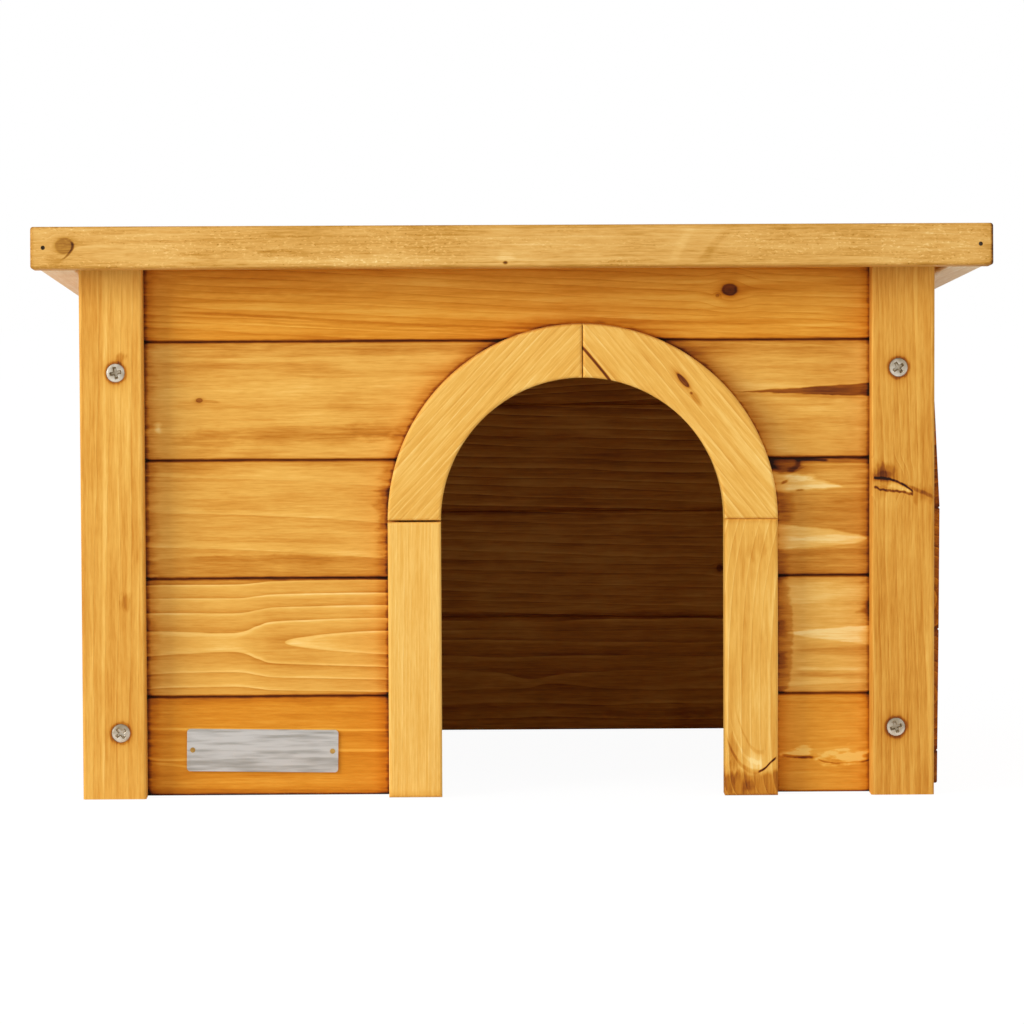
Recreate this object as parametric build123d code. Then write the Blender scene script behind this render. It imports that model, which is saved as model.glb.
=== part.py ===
from build123d import *
import os
from math import atan, cos, degrees, sin

# A boarded hut for small rodents, with an arched doorway, no floor and a lean-to roof that hinges up
# at the back. Millimetres, +Z up, the doorway faces -Y. The origin is on the ground, under the middle
# of the roof. Left and right are as seen from the front, so left is -X.

# Whole object
ROOF_WIDTH = 400.0
ROOF_LENGTH = 316.0  # down the slope, from the front fascia to the rear batten
TOTAL_HEIGHT = 241.0
BODY_WIDTH = 358.5
BODY_DEPTH = 280.0
BODY_FALL = 20.1  # the walls are this much lower at the back than at the front
FRONT_OVERHANG = 17.5
ROOF_SIDE_PLAY = 2.0  # the roof hangs this far to the right of the body's middle

# Wall planks, joined by tongue and groove
PLANK_THICKNESS = 10.0
PLANK_ARRIS = 0.5
TONGUE_HEIGHT = 3.0
TONGUE_WIDTH = 3.2
GROOVE_DEPTH = 3.3
GROOVE_WIDTH = 3.4
FRONT_JOINTS = [42.0, 92.0, 142.0, 192.0]
BACK_JOINTS = [53.5, 103.5, 153.5, 203.5]
SIDE_JOINTS = [17.5, 69.0, 120.5, 172.0]
SIDE_BOTTOM = 3.5
SIDE_LOWEST_TOP = 210.0  # the top of the side walls at the back
# How far each side wall stands out past the corner strips: at its bottom, at each joint and at its top
SIDE_BOW = {"left": [0.0] * 6, "right": [2.4, 2.5, 3.0, 3.3, 0.8, 0.0]}

# Corner strips outside and corner battens inside
STRIP_WIDTH = 26.5
STRIP_THICKNESS = 12.0
CORNER_BATTEN = 20.0
CORNER_BATTEN_BOTTOM = 4.0
SOFT_ARRIS = 1.2

# Doorway
DOOR_X = 31.4  # from the body's middle
DOOR_RADIUS = 59.6
SPRING_HEIGHT = 117.0
TRIM_WIDTH = 22.4
TRIM_SETBACK = 1.0  # the planks are cut this far behind the inner edge of the trim
CROWN_GAP = 0.3
LEFT_JAMB_GAP = 0.8

# Roof
ROOF_BATTEN_WIDTH = 15.0
ROOF_BATTEN_HEIGHT = 17.5
SIDE_BATTEN_INSET = 2.7
DECK_THICKNESS = PLANK_THICKNESS
DECK_PITCH = 50.0
ROOF_REST_GAP = 0.3

# Screws and nails
SCREW_HEAD_RADIUS = 4.0
SCREW_SHANK_RADIUS = 1.9
SCREW_LENGTH = 35.0
SCREW_SINK = 0.4
SCREW_INSET = 15.6  # from the outer edge of the corner strip
# How far each front screw strays in x and z: left column from the bottom up, then the right one
FRONT_SCREW_STRAYS = [(0.4, -0.1), (-0.5, -0.5), (-0.5, 0.7), (0.4, 0.3)]
SCREW_POINT = 2.5  # the point's length in shank radii
FRONT_SCREW_HEIGHTS = [28.0, 180.0]
BACK_SCREW_HEIGHTS = [28.0, 165.0]
NAIL_HEAD_RADIUS = 0.9
NAIL_SHANK_RADIUS = 0.6
NAIL_LENGTH = 26.0
NAIL_HEAD_DEPTH = 0.5
NAIL_SINK = 0.8
FASCIA_NAIL_INSET = 5.3

# Name plate, bare
PLATE_LENGTH = 63.9
PLATE_HEIGHT = 18.0
PLATE_THICKNESS = 0.6
PLATE_RIM = 1.0
PLATE_RIM_HEIGHT = 0.3
PLATE_LEFT = 43.2  # from the body's left edge
PLATE_MIDDLE_HEIGHT = 19.0
PLATE_TILT = 0.8  # degrees clockwise
PLATE_CORNER = 1.5
PLATE_NAIL_INSET = 2.4
PLATE_NAIL_LENGTH = 8.0
PLATE_NAIL_HEAD_RADIUS = 1.1
PLATE_NAIL_SHANK_RADIUS = 0.5

# Hinges
HINGE_LENGTH = 22.0
LEAF_THICKNESS = 1.2
LEAF_REACH = 13.0  # from the pin's axis to the leaf's free edge
PIN_OFFSET = 2.7  # from the pin's axis to the back of each leaf
KNUCKLE_RADIUS = 2.4
KNUCKLE_GAP = 0.3
PIN_RADIUS = 1.2
PIN_CLEARANCE = 0.05
HINGE_SCREW_SPACING = 12.0
HINGE_SCREW_REACH = 8.5
HINGE_SCREW_HEAD_RADIUS = 2.2
HINGE_SCREW_SHANK_RADIUS = 1.2
HINGE_SCREW_LENGTH = 10.0

# Worked-out places. The roof is built level, from its front lower edge back, and then tilted.
SLOPE = atan(BODY_FALL / BODY_DEPTH)
ROOF_FRONT_Y = -(ROOF_LENGTH * cos(SLOPE) + ROOF_BATTEN_HEIGHT * sin(SLOPE)) / 2
ROOF_FRONT_Z = TOTAL_HEIGHT - ROOF_BATTEN_HEIGHT * cos(SLOPE)
TILTED = Pos(0, ROOF_FRONT_Y, ROOF_FRONT_Z) * Rot(-degrees(SLOPE), 0, 0)
BODY_X = -ROOF_SIDE_PLAY
BODY_LEFT = BODY_X - BODY_WIDTH / 2
BODY_RIGHT = BODY_X + BODY_WIDTH / 2
BODY_FRONT = ROOF_FRONT_Y + FRONT_OVERHANG
BODY_BACK = BODY_FRONT + BODY_DEPTH
FRONT_PLANKS_Y = BODY_FRONT + STRIP_THICKNESS
BACK_PLANKS_Y = BODY_BACK - STRIP_THICKNESS
DOOR_MIDDLE = BODY_X + DOOR_X
DECK_UNDERSIDE = ROOF_BATTEN_HEIGHT - DECK_THICKNESS
PLANK_TOP = TOTAL_HEIGHT  # the top row is cut to the slope afterwards
PIN_Y = BODY_BACK + PIN_OFFSET
PIN_ALONG_ROOF = (PIN_Y - ROOF_FRONT_Y + PIN_OFFSET * sin(SLOPE)) / cos(SLOPE)
PIN_Z = ROOF_FRONT_Z - PIN_ALONG_ROOF * sin(SLOPE) - PIN_OFFSET * cos(SLOPE)

MIN_CORNER = (Align.MIN, Align.MIN, Align.MIN)
ON_TOP = (Align.CENTER, Align.CENTER, Align.MIN)
HANGING = (Align.CENTER, Align.CENTER, Align.MAX)


def box_between(low, high):
    """A box from its lowest corner to its highest."""
    sizes = [b - a for a, b in zip(low, high)]
    return Pos(*low) * Box(*sizes, align=MIN_CORNER)


def rounded_bar(low, high, axis):
    """A box whose four edges along axis are softly rounded."""
    bar = box_between(low, high)
    return fillet(bar.edges().filter_by(axis), SOFT_ARRIS)


def plank(length, bottom, top, grooved=True, tongued=True, low_out=0, high_out=0):
    """A board along X from x = 0, with its outer face on y = 0 and its tongue above its top edge.

    A board that leans has its lower and upper edges that far out, to -Y."""
    middle = PLANK_THICKNESS / 2
    low_edge = [(0, bottom + PLANK_ARRIS), (PLANK_ARRIS, bottom)]
    if grooved:
        near, far = middle - GROOVE_WIDTH / 2, middle + GROOVE_WIDTH / 2
        floor = bottom + GROOVE_DEPTH
        low_edge += [(near, bottom), (near, floor), (far, floor), (far, bottom)]
    low_edge += [
        (PLANK_THICKNESS - PLANK_ARRIS, bottom),
        (PLANK_THICKNESS, bottom + PLANK_ARRIS),
    ]
    high_edge = [
        (PLANK_THICKNESS, top - PLANK_ARRIS),
        (PLANK_THICKNESS - PLANK_ARRIS, top),
    ]
    if tongued:
        near, far = middle - TONGUE_WIDTH / 2, middle + TONGUE_WIDTH / 2
        tip = top + TONGUE_HEIGHT
        high_edge += [(far, top), (far, tip), (near, tip), (near, top)]
    high_edge += [(PLANK_ARRIS, top), (0, top - PLANK_ARRIS)]
    outline = [(y - low_out, z) for y, z in low_edge]
    outline += [(y - high_out, z) for y, z in high_edge]
    return extrude(Plane.YZ * make_face(Polyline(*outline, close=True)), length)


def rows(bottom, joints):
    """(row, bottom, top, grooved, tongued) of each plank, from the lowest up."""
    edges = [bottom] + joints + [PLANK_TOP]
    last = len(joints)
    return [(i + 1, edges[i], edges[i + 1], i > 0, i < last) for i in range(last + 1)]


def turned(length, head_radius, shank_radius, head_depth, sink):
    """The solid of revolution of a screw or nail along -Z, its head's rim this far under z = 0."""
    point = SCREW_POINT * shank_radius
    profile = make_face(
        Polyline(
            (0, -sink),
            (head_radius, -sink),
            (shank_radius, -sink - head_depth),
            (shank_radius, -sink - length + point),
            (0, -sink - length),
            close=True,
        )
    )
    return revolve(Plane.XZ * profile, Axis.Z)


def with_access(fastener, head_radius, sink):
    """The space that a fastener takes in the wood, with the dimple over its sunk head."""
    return fastener + Pos(0, 0, -sink) * Cylinder(head_radius, sink + 1, align=ON_TOP)


def cross_recess(head_radius, sink):
    """The cross-shaped hole that takes the driver, narrower towards its bottom."""
    reach, depth, wing = 1.15 * head_radius, 0.5 * head_radius, 0.26 * head_radius
    arms = Box(reach, wing, depth, align=HANGING) + Box(wing, reach, depth, align=HANGING)
    taper = Cone(0.25 * head_radius, 0.6 * head_radius, depth, align=HANGING)
    return Pos(0, 0, -sink) * (arms & taper)


PANEL_SCREW_BLANK = turned(
    SCREW_LENGTH,
    SCREW_HEAD_RADIUS,
    SCREW_SHANK_RADIUS,
    SCREW_HEAD_RADIUS - SCREW_SHANK_RADIUS,
    SCREW_SINK,
)
PANEL_SCREW = PANEL_SCREW_BLANK - cross_recess(SCREW_HEAD_RADIUS, SCREW_SINK)
PANEL_SCREW_SPACE = with_access(PANEL_SCREW_BLANK, SCREW_HEAD_RADIUS, SCREW_SINK)
NAIL = turned(NAIL_LENGTH, NAIL_HEAD_RADIUS, NAIL_SHANK_RADIUS, NAIL_HEAD_DEPTH, NAIL_SINK)
NAIL_SPACE = with_access(NAIL, NAIL_HEAD_RADIUS, NAIL_SINK)
HINGE_SCREW_BLANK = turned(
    HINGE_SCREW_LENGTH,
    HINGE_SCREW_HEAD_RADIUS,
    HINGE_SCREW_SHANK_RADIUS,
    HINGE_SCREW_HEAD_RADIUS - HINGE_SCREW_SHANK_RADIUS,
    0,
)
HINGE_SCREW = HINGE_SCREW_BLANK - cross_recess(HINGE_SCREW_HEAD_RADIUS, 0)

# Where fasteners go: each place turns +Z to point out of the wood
FACING_FRONT = Rot(90, 0, 0)
FACING_BACK = Rot(-90, 0, 0)
FACING_LEFT = Rot(0, -90, 0)
FACING_RIGHT = Rot(0, 90, 0)
FACING_DOWN = Rot(180, 0, 0)


def placed(solid, places):
    """Copies of a solid at each place."""
    return [place * solid for place in places]


def screw_columns():
    """The x of the left and the right column of panel screws."""
    return [BODY_LEFT + SCREW_INSET, BODY_RIGHT - SCREW_INSET]


FRONT_SCREW_SPOTS = [(x, z) for x in screw_columns() for z in FRONT_SCREW_HEIGHTS]
FRONT_SCREW_PLACES = [
    Pos(x + stray_x, BODY_FRONT, z + stray_z) * FACING_FRONT
    for (x, z), (stray_x, stray_z) in zip(FRONT_SCREW_SPOTS, FRONT_SCREW_STRAYS)
]
BACK_SCREW_PLACES = [
    Pos(x, BODY_BACK, z) * FACING_BACK for x in screw_columns() for z in BACK_SCREW_HEIGHTS
]


def side_nail_places(side):
    """One nail in each end of each side plank, into the corner battens."""
    face, outwards, facing = {
        "left": (BODY_LEFT, -1, FACING_LEFT),
        "right": (BODY_RIGHT, 1, FACING_RIGHT),
    }[side]
    bow = SIDE_BOW[side]
    inset = CORNER_BATTEN / 2
    ends = [FRONT_PLANKS_Y + PLANK_THICKNESS + inset, BACK_PLANKS_Y - PLANK_THICKNESS - inset]
    edges = [SIDE_BOTTOM] + SIDE_JOINTS + [SIDE_LOWEST_TOP]
    places = []
    for row in range(len(SIDE_JOINTS) + 1):
        height = (edges[row] + edges[row + 1]) / 2
        out = outwards * (bow[row] + bow[row + 1]) / 2
        places += [Pos(face + out, y, height) * facing for y in ends]
    return places


def cut_for(shape, spaces):
    """The shape less each of the spaces that reach into it."""
    for space in spaces:
        if shape.bounding_box().overlaps(space.bounding_box()):
            shape = shape - space
    return shape


FRONT_SCREW_SPACES = placed(PANEL_SCREW_SPACE, FRONT_SCREW_PLACES)
BACK_SCREW_SPACES = placed(PANEL_SCREW_SPACE, BACK_SCREW_PLACES)
SIDE_NAIL_PLACES = side_nail_places("left") + side_nail_places("right")
SIDE_NAIL_SPACES = placed(NAIL_SPACE, SIDE_NAIL_PLACES)

# The space over the walls, which the roof's boards close
ABOVE_WALLS = TILTED * box_between(
    (-ROOF_WIDTH, -ROOF_LENGTH, DECK_UNDERSIDE - ROOF_REST_GAP),
    (ROOF_WIDTH, 2 * ROOF_LENGTH, TOTAL_HEIGHT),
)


def doorway(radius, front, back):
    """The arch-topped prism of the doorway, from below the ground up."""
    depth = back - front
    straight = box_between(
        (DOOR_MIDDLE - radius, front, -1), (DOOR_MIDDLE + radius, back, SPRING_HEIGHT)
    )
    round_top = Pos(DOOR_MIDDLE, (front + back) / 2, SPRING_HEIGHT) * Rot(90, 0, 0)
    return straight + round_top * Cylinder(radius, depth)


def front_planks():
    """The five rows of the front. The doorway cuts the lower three in two and notches the fourth."""
    opening = doorway(
        DOOR_RADIUS + TRIM_SETBACK, FRONT_PLANKS_Y - 1, FRONT_PLANKS_Y + PLANK_THICKNESS + 1
    )
    left_end = BODY_LEFT + PLANK_THICKNESS
    length = BODY_WIDTH - 2 * PLANK_THICKNESS
    planks = {}
    for row, bottom, top, grooved, tongued in rows(0, FRONT_JOINTS):
        whole = Pos(left_end, FRONT_PLANKS_Y, 0) * plank(length, bottom, top, grooved, tongued)
        whole = cut_for(whole - opening - ABOVE_WALLS, FRONT_SCREW_SPACES)
        pieces = whole.solids().sort_by(Axis.X)
        if len(pieces) == 2:
            planks[f"front_plank_{row}_left"] = pieces[0]
            planks[f"front_plank_{row}_right"] = pieces[1]
        else:
            planks[f"front_plank_{row}"] = whole
    return planks


def back_planks():
    """The five rows of the back, all whole."""
    right_end = BODY_RIGHT - PLANK_THICKNESS
    length = BODY_WIDTH - 2 * PLANK_THICKNESS
    planks = {}
    for row, bottom, top, grooved, tongued in rows(0, BACK_JOINTS):
        place = Pos(right_end, BACK_PLANKS_Y, 0) * Rot(0, 0, 180)
        board = place * plank(length, bottom, top, grooved, tongued)
        planks[f"back_plank_{row}"] = cut_for(board - ABOVE_WALLS, BACK_SCREW_SPACES)
    return planks


def side_planks(side):
    """The five rows of a side wall, which cover the ends of the front and back planks."""
    length = BACK_PLANKS_Y - FRONT_PLANKS_Y
    place = {
        "left": Pos(BODY_LEFT, BACK_PLANKS_Y, 0) * Rot(0, 0, -90),
        "right": Pos(BODY_RIGHT, FRONT_PLANKS_Y, 0) * Rot(0, 0, 90),
    }[side]
    bow = SIDE_BOW[side]
    planks = {}
    for row, bottom, top, grooved, tongued in rows(SIDE_BOTTOM, SIDE_JOINTS):
        board = place * plank(length, bottom, top, grooved, tongued, bow[row - 1], bow[row])
        planks[f"{side}_plank_{row}"] = cut_for(board - ABOVE_WALLS, SIDE_NAIL_SPACES)
    return planks


def corner_strips():
    """The upright strips that cover the four outer corners."""
    strips = {}
    fronts = {"front": BODY_FRONT, "back": BACK_PLANKS_Y}
    lefts = {"left": BODY_LEFT, "right": BODY_RIGHT - STRIP_WIDTH}
    spaces = FRONT_SCREW_SPACES + BACK_SCREW_SPACES
    for end, front in fronts.items():
        for side, left in lefts.items():
            high = (left + STRIP_WIDTH, front + STRIP_THICKNESS, PLANK_TOP)
            strip = rounded_bar((left, front, 0), high, Axis.Z) - ABOVE_WALLS
            strips[f"{end}_{side}_corner_strip"] = cut_for(strip, spaces)
    return strips


def corner_battens():
    """The square battens inside the corners, which hold the walls together."""
    battens = {}
    inner_front = FRONT_PLANKS_Y + PLANK_THICKNESS
    inner_back = BACK_PLANKS_Y - PLANK_THICKNESS
    fronts = {"front": inner_front, "back": inner_back - CORNER_BATTEN}
    inner_right = BODY_RIGHT - PLANK_THICKNESS
    lefts = {"left": BODY_LEFT + PLANK_THICKNESS, "right": inner_right - CORNER_BATTEN}
    spaces = FRONT_SCREW_SPACES + BACK_SCREW_SPACES + SIDE_NAIL_SPACES
    for end, front in fronts.items():
        for side, left in lefts.items():
            low = (left, front, CORNER_BATTEN_BOTTOM)
            high = (left + CORNER_BATTEN, front + CORNER_BATTEN, PLANK_TOP)
            batten = box_between(low, high) - ABOVE_WALLS
            battens[f"{end}_{side}_corner_batten"] = cut_for(batten, spaces)
    return battens


def door_trim():
    """Two jambs and two quadrant arcs, with their front edges softly rounded."""
    outer = DOOR_RADIUS + TRIM_WIDTH
    trim = {}
    for side, sign, gap in (("left", -1, LEFT_JAMB_GAP), ("right", 1, 0)):
        ends = sorted((DOOR_MIDDLE + sign * DOOR_RADIUS, DOOR_MIDDLE + sign * outer))
        low = (ends[0], BODY_FRONT, 0)
        high = (ends[1], BODY_FRONT + STRIP_THICKNESS, SPRING_HEIGHT - gap)
        jamb = box_between(low, high)
        trim[f"{side}_jamb"] = fillet(jamb.edges().group_by(Axis.Y)[0], SOFT_ARRIS)
        ring = Cylinder(outer, STRIP_THICKNESS) - Cylinder(DOOR_RADIUS, STRIP_THICKNESS)
        place = Pos(DOOR_MIDDLE, BODY_FRONT + STRIP_THICKNESS / 2, SPRING_HEIGHT) * Rot(90, 0, 0)
        near, far = sorted((sign * CROWN_GAP / 2, sign * 2 * outer))
        quarter = box_between(
            (DOOR_MIDDLE + near, BODY_FRONT - 1, SPRING_HEIGHT),
            (DOOR_MIDDLE + far, FRONT_PLANKS_Y + 1, SPRING_HEIGHT + 2 * outer),
        )
        arc = (place * ring) & quarter
        trim[f"{side}_door_arc"] = fillet(arc.edges().group_by(Axis.Y)[0], SOFT_ARRIS)
    return trim


def name_plate():
    """The bare metal plate with its raised rim, by name, and its two nails."""
    left = BODY_LEFT + PLATE_LEFT
    middle = left + PLATE_LENGTH / 2
    place = Pos(middle, FRONT_PLANKS_Y, PLATE_MIDDLE_HEIGHT) * FACING_FRONT * Rot(0, 0, -PLATE_TILT)
    outline = RectangleRounded(PLATE_LENGTH, PLATE_HEIGHT, PLATE_CORNER)
    inside = RectangleRounded(
        PLATE_LENGTH - 2 * PLATE_RIM, PLATE_HEIGHT - 2 * PLATE_RIM, PLATE_CORNER - PLATE_RIM / 2
    )
    sheet = extrude(outline, PLATE_THICKNESS)
    rim = Pos(0, 0, PLATE_THICKNESS) * extrude(outline - inside, PLATE_RIM_HEIGHT)
    nail_x = PLATE_LENGTH / 2 - PLATE_NAIL_INSET
    nail = turned(
        PLATE_NAIL_LENGTH, PLATE_NAIL_HEAD_RADIUS, PLATE_NAIL_SHANK_RADIUS, 0.5, 0
    )
    head_place = Pos(0, 0, PLATE_THICKNESS + PLATE_RIM_HEIGHT)
    places = [place * Pos(x, 0, 0) * head_place for x in (-nail_x, nail_x)]
    nails = placed(nail, places)
    plate = place * (sheet + rim)
    return {"name_plate": cut_for(plate, nails)}, nails


def roof_nail_places():
    """Nails through the ends of the front and rear battens, and through the side battens into the boards."""
    half = ROOF_WIDTH / 2
    middle = ROOF_BATTEN_HEIGHT / 2
    places = []
    for sign in (-1, 1):
        front_x = sign * (half - FASCIA_NAIL_INSET)
        rear_x = sign * (half - SIDE_BATTEN_INSET - FASCIA_NAIL_INSET)
        places.append(Pos(front_x, 0, middle) * FACING_FRONT)
        places.append(Pos(rear_x, ROOF_LENGTH, middle) * FACING_BACK)
    boards = deck_edges()
    board_middle = ROOF_BATTEN_HEIGHT - DECK_THICKNESS / 2
    for start, end in zip(boards, boards[1:]):
        along = (start + end) / 2
        places.append(Pos(-half + SIDE_BATTEN_INSET, along, board_middle) * FACING_LEFT)
        places.append(Pos(half - SIDE_BATTEN_INSET, along, board_middle) * FACING_RIGHT)
    return places


def deck_edges():
    """Where the roof boards meet, from the fascia back."""
    edges = [ROOF_BATTEN_WIDTH]
    end = ROOF_LENGTH - ROOF_BATTEN_WIDTH
    while edges[-1] + DECK_PITCH < end:
        edges.append(edges[-1] + DECK_PITCH)
    return edges + [end]


def roof_pieces(fastener_spaces):
    """The fascia, three more battens and the boards between them, level and not yet tilted."""
    half = ROOF_WIDTH / 2
    height = ROOF_BATTEN_HEIGHT
    width = ROOF_BATTEN_WIDTH
    outer = half - SIDE_BATTEN_INSET
    fascia = box_between((-half, 0, 0), (half, width, height))
    fascia = fillet(fascia.edges(), SOFT_ARRIS)
    rear = rounded_bar((-outer, ROOF_LENGTH - width, 0), (outer, ROOF_LENGTH, height), Axis.X)
    inner = outer - width
    rear_face = ROOF_LENGTH - width
    left = rounded_bar((-outer, width, 0), (-inner, rear_face, height), Axis.Y)
    right = rounded_bar((inner, width, 0), (outer, rear_face, height), Axis.Y)
    pieces = {
        "roof_front_fascia": fascia,
        "roof_rear_batten": rear,
        "roof_left_batten": left,
        "roof_right_batten": right,
    }
    edges = deck_edges()
    last = len(edges) - 2
    for i, (start, end) in enumerate(zip(edges, edges[1:])):
        board = plank(2 * inner, start, end, grooved=i > 0, tongued=i < last)
        pieces[f"roof_board_{i + 1}"] = Pos(-inner, 0, height) * Rot(-90, 0, 0) * board
    return {name: cut_for(piece, fastener_spaces) for name, piece in pieces.items()}


def hinge_leaf(knuckle_spans):
    """A leaf along X, its back on z = 0 and its pin's axis at y = 0 below it, reaching to +Y.

    knuckle_spans are the stretches of x that hold its knuckles."""
    half = HINGE_LENGTH / 2
    start = KNUCKLE_RADIUS + KNUCKLE_GAP
    leaf = box_between((-half, start, -LEAF_THICKNESS), (half, LEAF_REACH, 0))
    for low, high in knuckle_spans:
        barrel = Cylinder(KNUCKLE_RADIUS, high - low)
        leaf += Pos((low + high) / 2, 0, -PIN_OFFSET) * Rot(0, 90, 0) * barrel
        leaf += box_between((low, 0, -LEAF_THICKNESS), (high, start, 0))
    bore = Cylinder(PIN_RADIUS + PIN_CLEARANCE, 2 * HINGE_LENGTH)
    leaf -= Pos(0, 0, -PIN_OFFSET) * Rot(0, 90, 0) * bore
    return leaf


def hinge_screw_places():
    """Screw places on a leaf, heads on its lower face."""
    half = HINGE_SCREW_SPACING / 2
    return [Pos(x, HINGE_SCREW_REACH, -LEAF_THICKNESS) * FACING_DOWN for x in (-half, half)]


KNUCKLE_LENGTH = (HINGE_LENGTH - 2 * KNUCKLE_GAP) / 3
OUTER_KNUCKLES = [
    (-HINGE_LENGTH / 2, -HINGE_LENGTH / 2 + KNUCKLE_LENGTH),
    (HINGE_LENGTH / 2 - KNUCKLE_LENGTH, HINGE_LENGTH / 2),
]
MIDDLE_KNUCKLE = [(-KNUCKLE_LENGTH / 2, KNUCKLE_LENGTH / 2)]
HINGE_X = {
    "left": BODY_LEFT + STRIP_WIDTH / 2,
    "right": BODY_RIGHT - STRIP_WIDTH / 2,
}


def roof_leaf_place(x):
    """Under the rear batten, in the roof's own level frame."""
    return Pos(x, PIN_ALONG_ROOF, 0)


def wall_leaf_place(x):
    """On the back of a corner strip, reaching down from the pin."""
    return Pos(x, BODY_BACK, PIN_Z) * Rot(0, 180, 0) * Rot(90, 0, 0)


WALL_LEAF_SCREW_PLACES = [
    wall_leaf_place(x) * place for x in HINGE_X.values() for place in hinge_screw_places()
]
ROOF_LEAF_SCREW_PLACES = [
    roof_leaf_place(x) * place for x in HINGE_X.values() for place in hinge_screw_places()
]


def hinges():
    """A wall leaf, a roof leaf and a pin for each side. The roof leaf turns on the pin."""
    holes = placed(HINGE_SCREW_BLANK, hinge_screw_places())
    wall_leaf = cut_for(hinge_leaf(OUTER_KNUCKLES), holes)
    roof_leaf = cut_for(hinge_leaf(MIDDLE_KNUCKLE), holes)
    pin = Rot(0, 90, 0) * Cylinder(PIN_RADIUS, HINGE_LENGTH)
    pieces = {}
    for side, x in HINGE_X.items():
        pieces[f"{side}_hinge_wall_leaf"] = wall_leaf_place(x) * wall_leaf
        pieces[f"{side}_hinge_roof_leaf"] = TILTED * roof_leaf_place(x) * roof_leaf
        pieces[f"{side}_hinge_pin"] = Pos(x, PIN_Y, PIN_Z) * pin
    return pieces


def fasteners(plate_nails):
    """Each kind of screw and nail, as one group of separate solids."""
    roof_nail_tilts = [TILTED * place for place in roof_nail_places()]
    roof_screw_tilts = [TILTED * place for place in ROOF_LEAF_SCREW_PLACES]
    groups = {
        "front_panel_screws": placed(PANEL_SCREW, FRONT_SCREW_PLACES),
        "back_panel_screws": placed(PANEL_SCREW, BACK_SCREW_PLACES),
        "side_plank_nails": placed(NAIL, SIDE_NAIL_PLACES),
        "name_plate_nails": plate_nails,
        "roof_nails": placed(NAIL, roof_nail_tilts),
        "hinge_wall_screws": placed(HINGE_SCREW, WALL_LEAF_SCREW_PLACES),
        "hinge_roof_screws": placed(HINGE_SCREW, roof_screw_tilts),
    }
    return {name: Compound(children=solids) for name, solids in groups.items()}


def main():
    """Builds every piece and writes each to a file of its own."""
    walls = front_planks() | back_planks() | side_planks("left") | side_planks("right")
    plate, plate_nails = name_plate()
    walls["front_plank_1_left"] = cut_for(walls["front_plank_1_left"], plate_nails)
    strips = corner_strips()
    leaf_screw_holes = placed(HINGE_SCREW_BLANK, WALL_LEAF_SCREW_PLACES)
    strips = {name: cut_for(strip, leaf_screw_holes) for name, strip in strips.items()}
    roof_nail_spaces = placed(NAIL_SPACE, roof_nail_places())
    roof_screw_holes = placed(HINGE_SCREW_BLANK, ROOF_LEAF_SCREW_PLACES)
    roof = roof_pieces(roof_nail_spaces + roof_screw_holes)

    pieces = walls | strips | corner_battens() | door_trim() | plate | hinges()
    pieces |= {name: TILTED * piece for name, piece in roof.items()}
    pieces |= fasteners(plate_nails)
    os.makedirs("parts", exist_ok=True)
    for name, piece in pieces.items():
        export_step(piece, f"parts/{name}.step")


main()
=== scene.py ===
"""The looks of a boarded hut for small rodents: stained softwood, plated steel and a bare metal plate.

Boards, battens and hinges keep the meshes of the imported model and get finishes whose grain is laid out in
real millimetres along each board. The screws of the corner strips are modelled here.
"""

import logging
import math
import random
from dataclasses import dataclass, field, replace
from enum import Enum

import bmesh
import bpy
from mathutils import Matrix, Vector


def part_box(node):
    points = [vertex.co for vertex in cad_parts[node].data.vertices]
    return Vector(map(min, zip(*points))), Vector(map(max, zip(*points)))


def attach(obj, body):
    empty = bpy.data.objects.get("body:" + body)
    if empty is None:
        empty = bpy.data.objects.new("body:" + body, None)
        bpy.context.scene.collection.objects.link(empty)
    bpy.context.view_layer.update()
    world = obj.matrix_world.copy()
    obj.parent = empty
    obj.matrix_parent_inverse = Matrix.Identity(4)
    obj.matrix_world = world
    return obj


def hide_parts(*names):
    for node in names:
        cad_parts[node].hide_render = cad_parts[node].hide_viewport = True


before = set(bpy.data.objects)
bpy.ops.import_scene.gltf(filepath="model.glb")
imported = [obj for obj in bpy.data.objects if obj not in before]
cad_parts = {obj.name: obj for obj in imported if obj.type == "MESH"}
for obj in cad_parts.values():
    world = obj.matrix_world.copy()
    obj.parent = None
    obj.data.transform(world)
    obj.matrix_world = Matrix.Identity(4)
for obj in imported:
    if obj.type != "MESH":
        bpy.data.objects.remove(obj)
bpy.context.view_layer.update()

MM = 0.001
Feed = bpy.types.NodeSocket | float | tuple[float, ...] | None
Socket = bpy.types.NodeSocket
Points = tuple[tuple[float, float], ...]
log = logging.getLogger("hut")


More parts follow.
